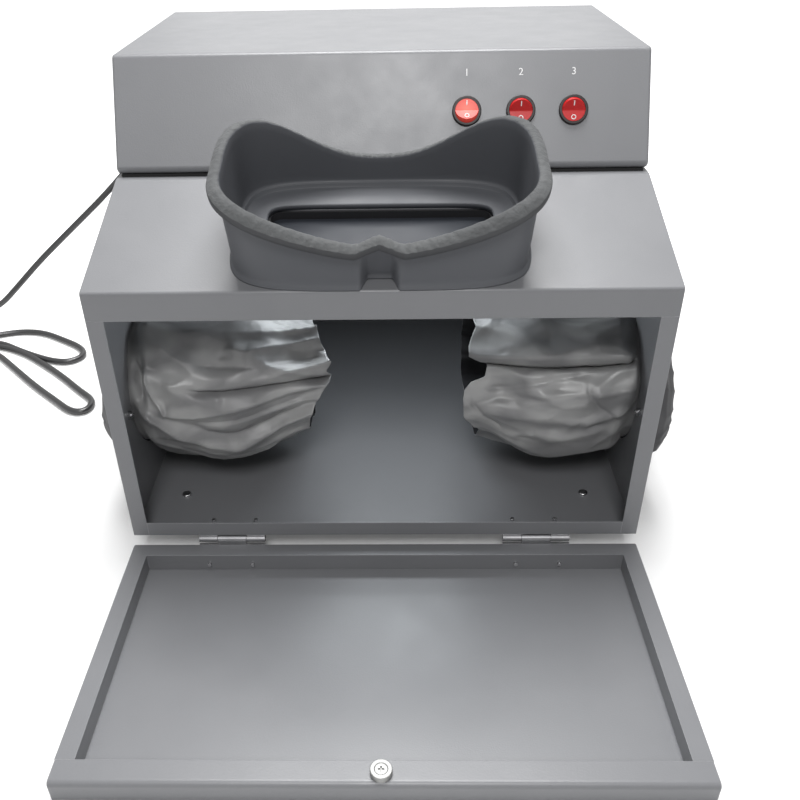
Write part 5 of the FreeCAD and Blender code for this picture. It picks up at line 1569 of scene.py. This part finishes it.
@dataclass
class Studio:
    """The bench top, the light and the camera.

    The camera's place is in the cabinet's millimetres. The lamps' places and the bench's
    sizes are in metres.
    """

    camera_place: tuple[float, float, float] = (8.32, -488.87, 422.56)
    yaw: float = math.radians(-1.53)
    pitch: float = math.radians(33.78)
    roll: float = math.radians(-1.18)
    sensor: float = 36.0
    focal_pixels: float = 847.0
    picture: float = 800.0
    centre: tuple[float, float] = (375.05, 429.78)
    surround_light: float = 0.25
    surround_gloss: float = 0.7
    bench_half: float = 6.0
    bench_drop: float = 0.0002
    bench_grey: float = 0.9
    bench_roughness: float = 0.6
    fade_from: float = 0.3
    fade_to: float = 0.85
    glow_near: float = 0.1
    glow_far: float = 0.85

    def camera(self) -> None:
        """Set the camera where the object's corners say the photograph was taken."""
        yaw, pitch, roll = self.yaw, self.pitch, self.roll
        forward = np.array([math.sin(yaw) * math.cos(pitch), math.cos(yaw) * math.cos(pitch),
                            -math.sin(pitch)])
        level = np.array([math.cos(yaw), -math.sin(yaw), 0.0])
        upright = np.cross(level, forward)
        right = math.cos(roll) * level + math.sin(roll) * upright
        up = -math.sin(roll) * level + math.cos(roll) * upright
        data = bpy.data.cameras.new("camera")
        data.sensor_width = self.sensor
        data.sensor_fit = "HORIZONTAL"
        data.lens = self.sensor * self.focal_pixels / self.picture
        data.shift_x = (self.picture / 2 - self.centre[0]) / self.picture
        data.shift_y = (self.centre[1] - self.picture / 2) / self.picture
        data.clip_start = 0.01
        camera = link(data, "camera")
        place = SITE.frame(np.array(self.camera_place))
        matrix = Matrix.Identity(4)
        for row in range(3):
            matrix[row] = (right[row], up[row], -forward[row], place[row])
        camera.matrix_world = matrix
        bpy.context.scene.camera = camera

    def lamp(self, name: str, place: tuple[float, float, float],
             target: tuple[float, float, float], size: float, power: float,
             deep: float | None = None,
             colour: tuple[float, float, float] = (1.0, 1.0, 1.0)) -> None:
        """Hang one soft light aimed at a point.

        Args:
            name: the lamp's name.
            place: where it hangs.
            target: the point it faces.
            size: its width.
            power: in watts.
            deep: its other side; as deep as it is wide when left out.
            colour: its tint.
        """
        data = bpy.data.lights.new(name, "AREA")
        data.shape = "RECTANGLE"
        data.size = size
        data.size_y = size if deep is None else deep
        data.energy = power
        data.color = colour
        lamp = link(data, name)
        lamp.visible_camera = False
        lamp.location = place
        aim = Vector(target) - Vector(place)
        lamp.rotation_euler = aim.to_track_quat("-Z", "Y").to_euler()

    def light(self) -> None:
        """One lamp overhead, one high in front, one behind, and two for the white tube's light.

        The tube's own glass gives no light, so two long narrow lamps stand in for it in the top
        of the chamber.
        """
        self.lamp("over", (0.0, 0.32, 1.6), (0.0, 0.05, 0.1), size=0.8, power=31.0)
        self.lamp("front", (0.0, -1.25, 1.5), (0.0, 0.0, 0.12), size=0.5, power=13.0)
        self.lamp("behind", (0.0, 2.6, 1.5), (0.0, 0.1, 0.25), size=1.6, power=6.0)
        cool = (0.9, 0.96, 1.0)
        self.lamp("inside", (0.0, 0.212, 0.25), (0.0, -0.12, 0.05), size=0.26, deep=0.02,
                  power=0.14, colour=cool)
        self.lamp("inside_front", (0.0, 0.05, 0.222), (0.0, -0.08, 0.09), size=0.15, deep=0.04,
                  power=0.24, colour=cool)

    def background(self) -> None:
        """A pale surround that the camera and glossy surfaces see nearly white."""
        world = bpy.data.worlds.new("surround")
        world.use_nodes = True
        layout = Wiring(world.node_tree)
        rays = layout.node("ShaderNodeLightPath").outputs
        seen = layout.maths("MAXIMUM", rays["Is Camera Ray"], rays["Is Transmission Ray"])
        gloss = layout.spread(rays["Is Glossy Ray"], 0.0, 1.0, self.surround_light,
                              self.surround_gloss)
        layout.feed(world.node_tree.nodes["Background"], {
            "Color": (1.0, 1.0, 1.0, 1.0),
            "Strength": layout.maths("MAXIMUM", seen, gloss),
        })
        bpy.context.scene.world = world

    def bench(self) -> None:
        """A wide pale bench top just under the feet, whiter to the camera away from it."""
        half, z = self.bench_half, -self.bench_drop
        mesh = bpy.data.meshes.new("bench_top")
        mesh.from_pydata([(-half, -half, z), (half, -half, z), (half, half, z),
                          (-half, half, z)], [], [(0, 1, 2, 3)])
        material = bpy.data.materials.new("bench_white")
        material.use_nodes = True
        nodes = material.node_tree.nodes
        layout = Wiring(material.node_tree)
        shader = layout.feed(nodes["Principled BSDF"], {
            "Base Color": (self.bench_grey, self.bench_grey, self.bench_grey, 1),
            "Roughness": self.bench_roughness,
        })
        away = layout.vectors("LENGTH", {0: layout.node("ShaderNodeTexCoord").outputs["Object"]})
        fade = layout.spread(away.outputs["Value"], self.fade_from, self.fade_to,
                             self.glow_near, self.glow_far, "SMOOTHSTEP")
        camera = layout.node("ShaderNodeLightPath").outputs["Is Camera Ray"]
        glow = layout.feed(layout.node("ShaderNodeEmission"),
                           {"Strength": layout.maths("MULTIPLY", camera, fade)})
        both = layout.feed(layout.node("ShaderNodeAddShader"),
                           {0: shader.outputs[0], 1: glow.outputs[0]})
        layout.wire(both.outputs[0], nodes["Material Output"].inputs["Surface"])
        mesh.materials.append(material)
        link(mesh, "bench_top")

    def build(self) -> None:
        """Set up the bench, the light and the camera."""
        self.bench()
        self.background()
        self.light()
        self.camera()
        bpy.context.scene.view_settings.view_transform = "Standard"


def main() -> None:
    """Dress the cabinet from its frame."""
    logging.basicConfig(level=logging.INFO, format="%(name)s: %(message)s")
    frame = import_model()
    SITE.locate()
    palette = Palette()
    FoldedBody().dress(frame, palette)
    BarPlugs().build(palette)
    LampTray().dress(frame, palette)
    EyeMask().build(palette)
    ArmPorts().build(palette)
    SwitchRow().build(frame, palette)
    MainsLead().build(frame, palette)
    Studio().build()


if __name__ == "__main__":
    main()
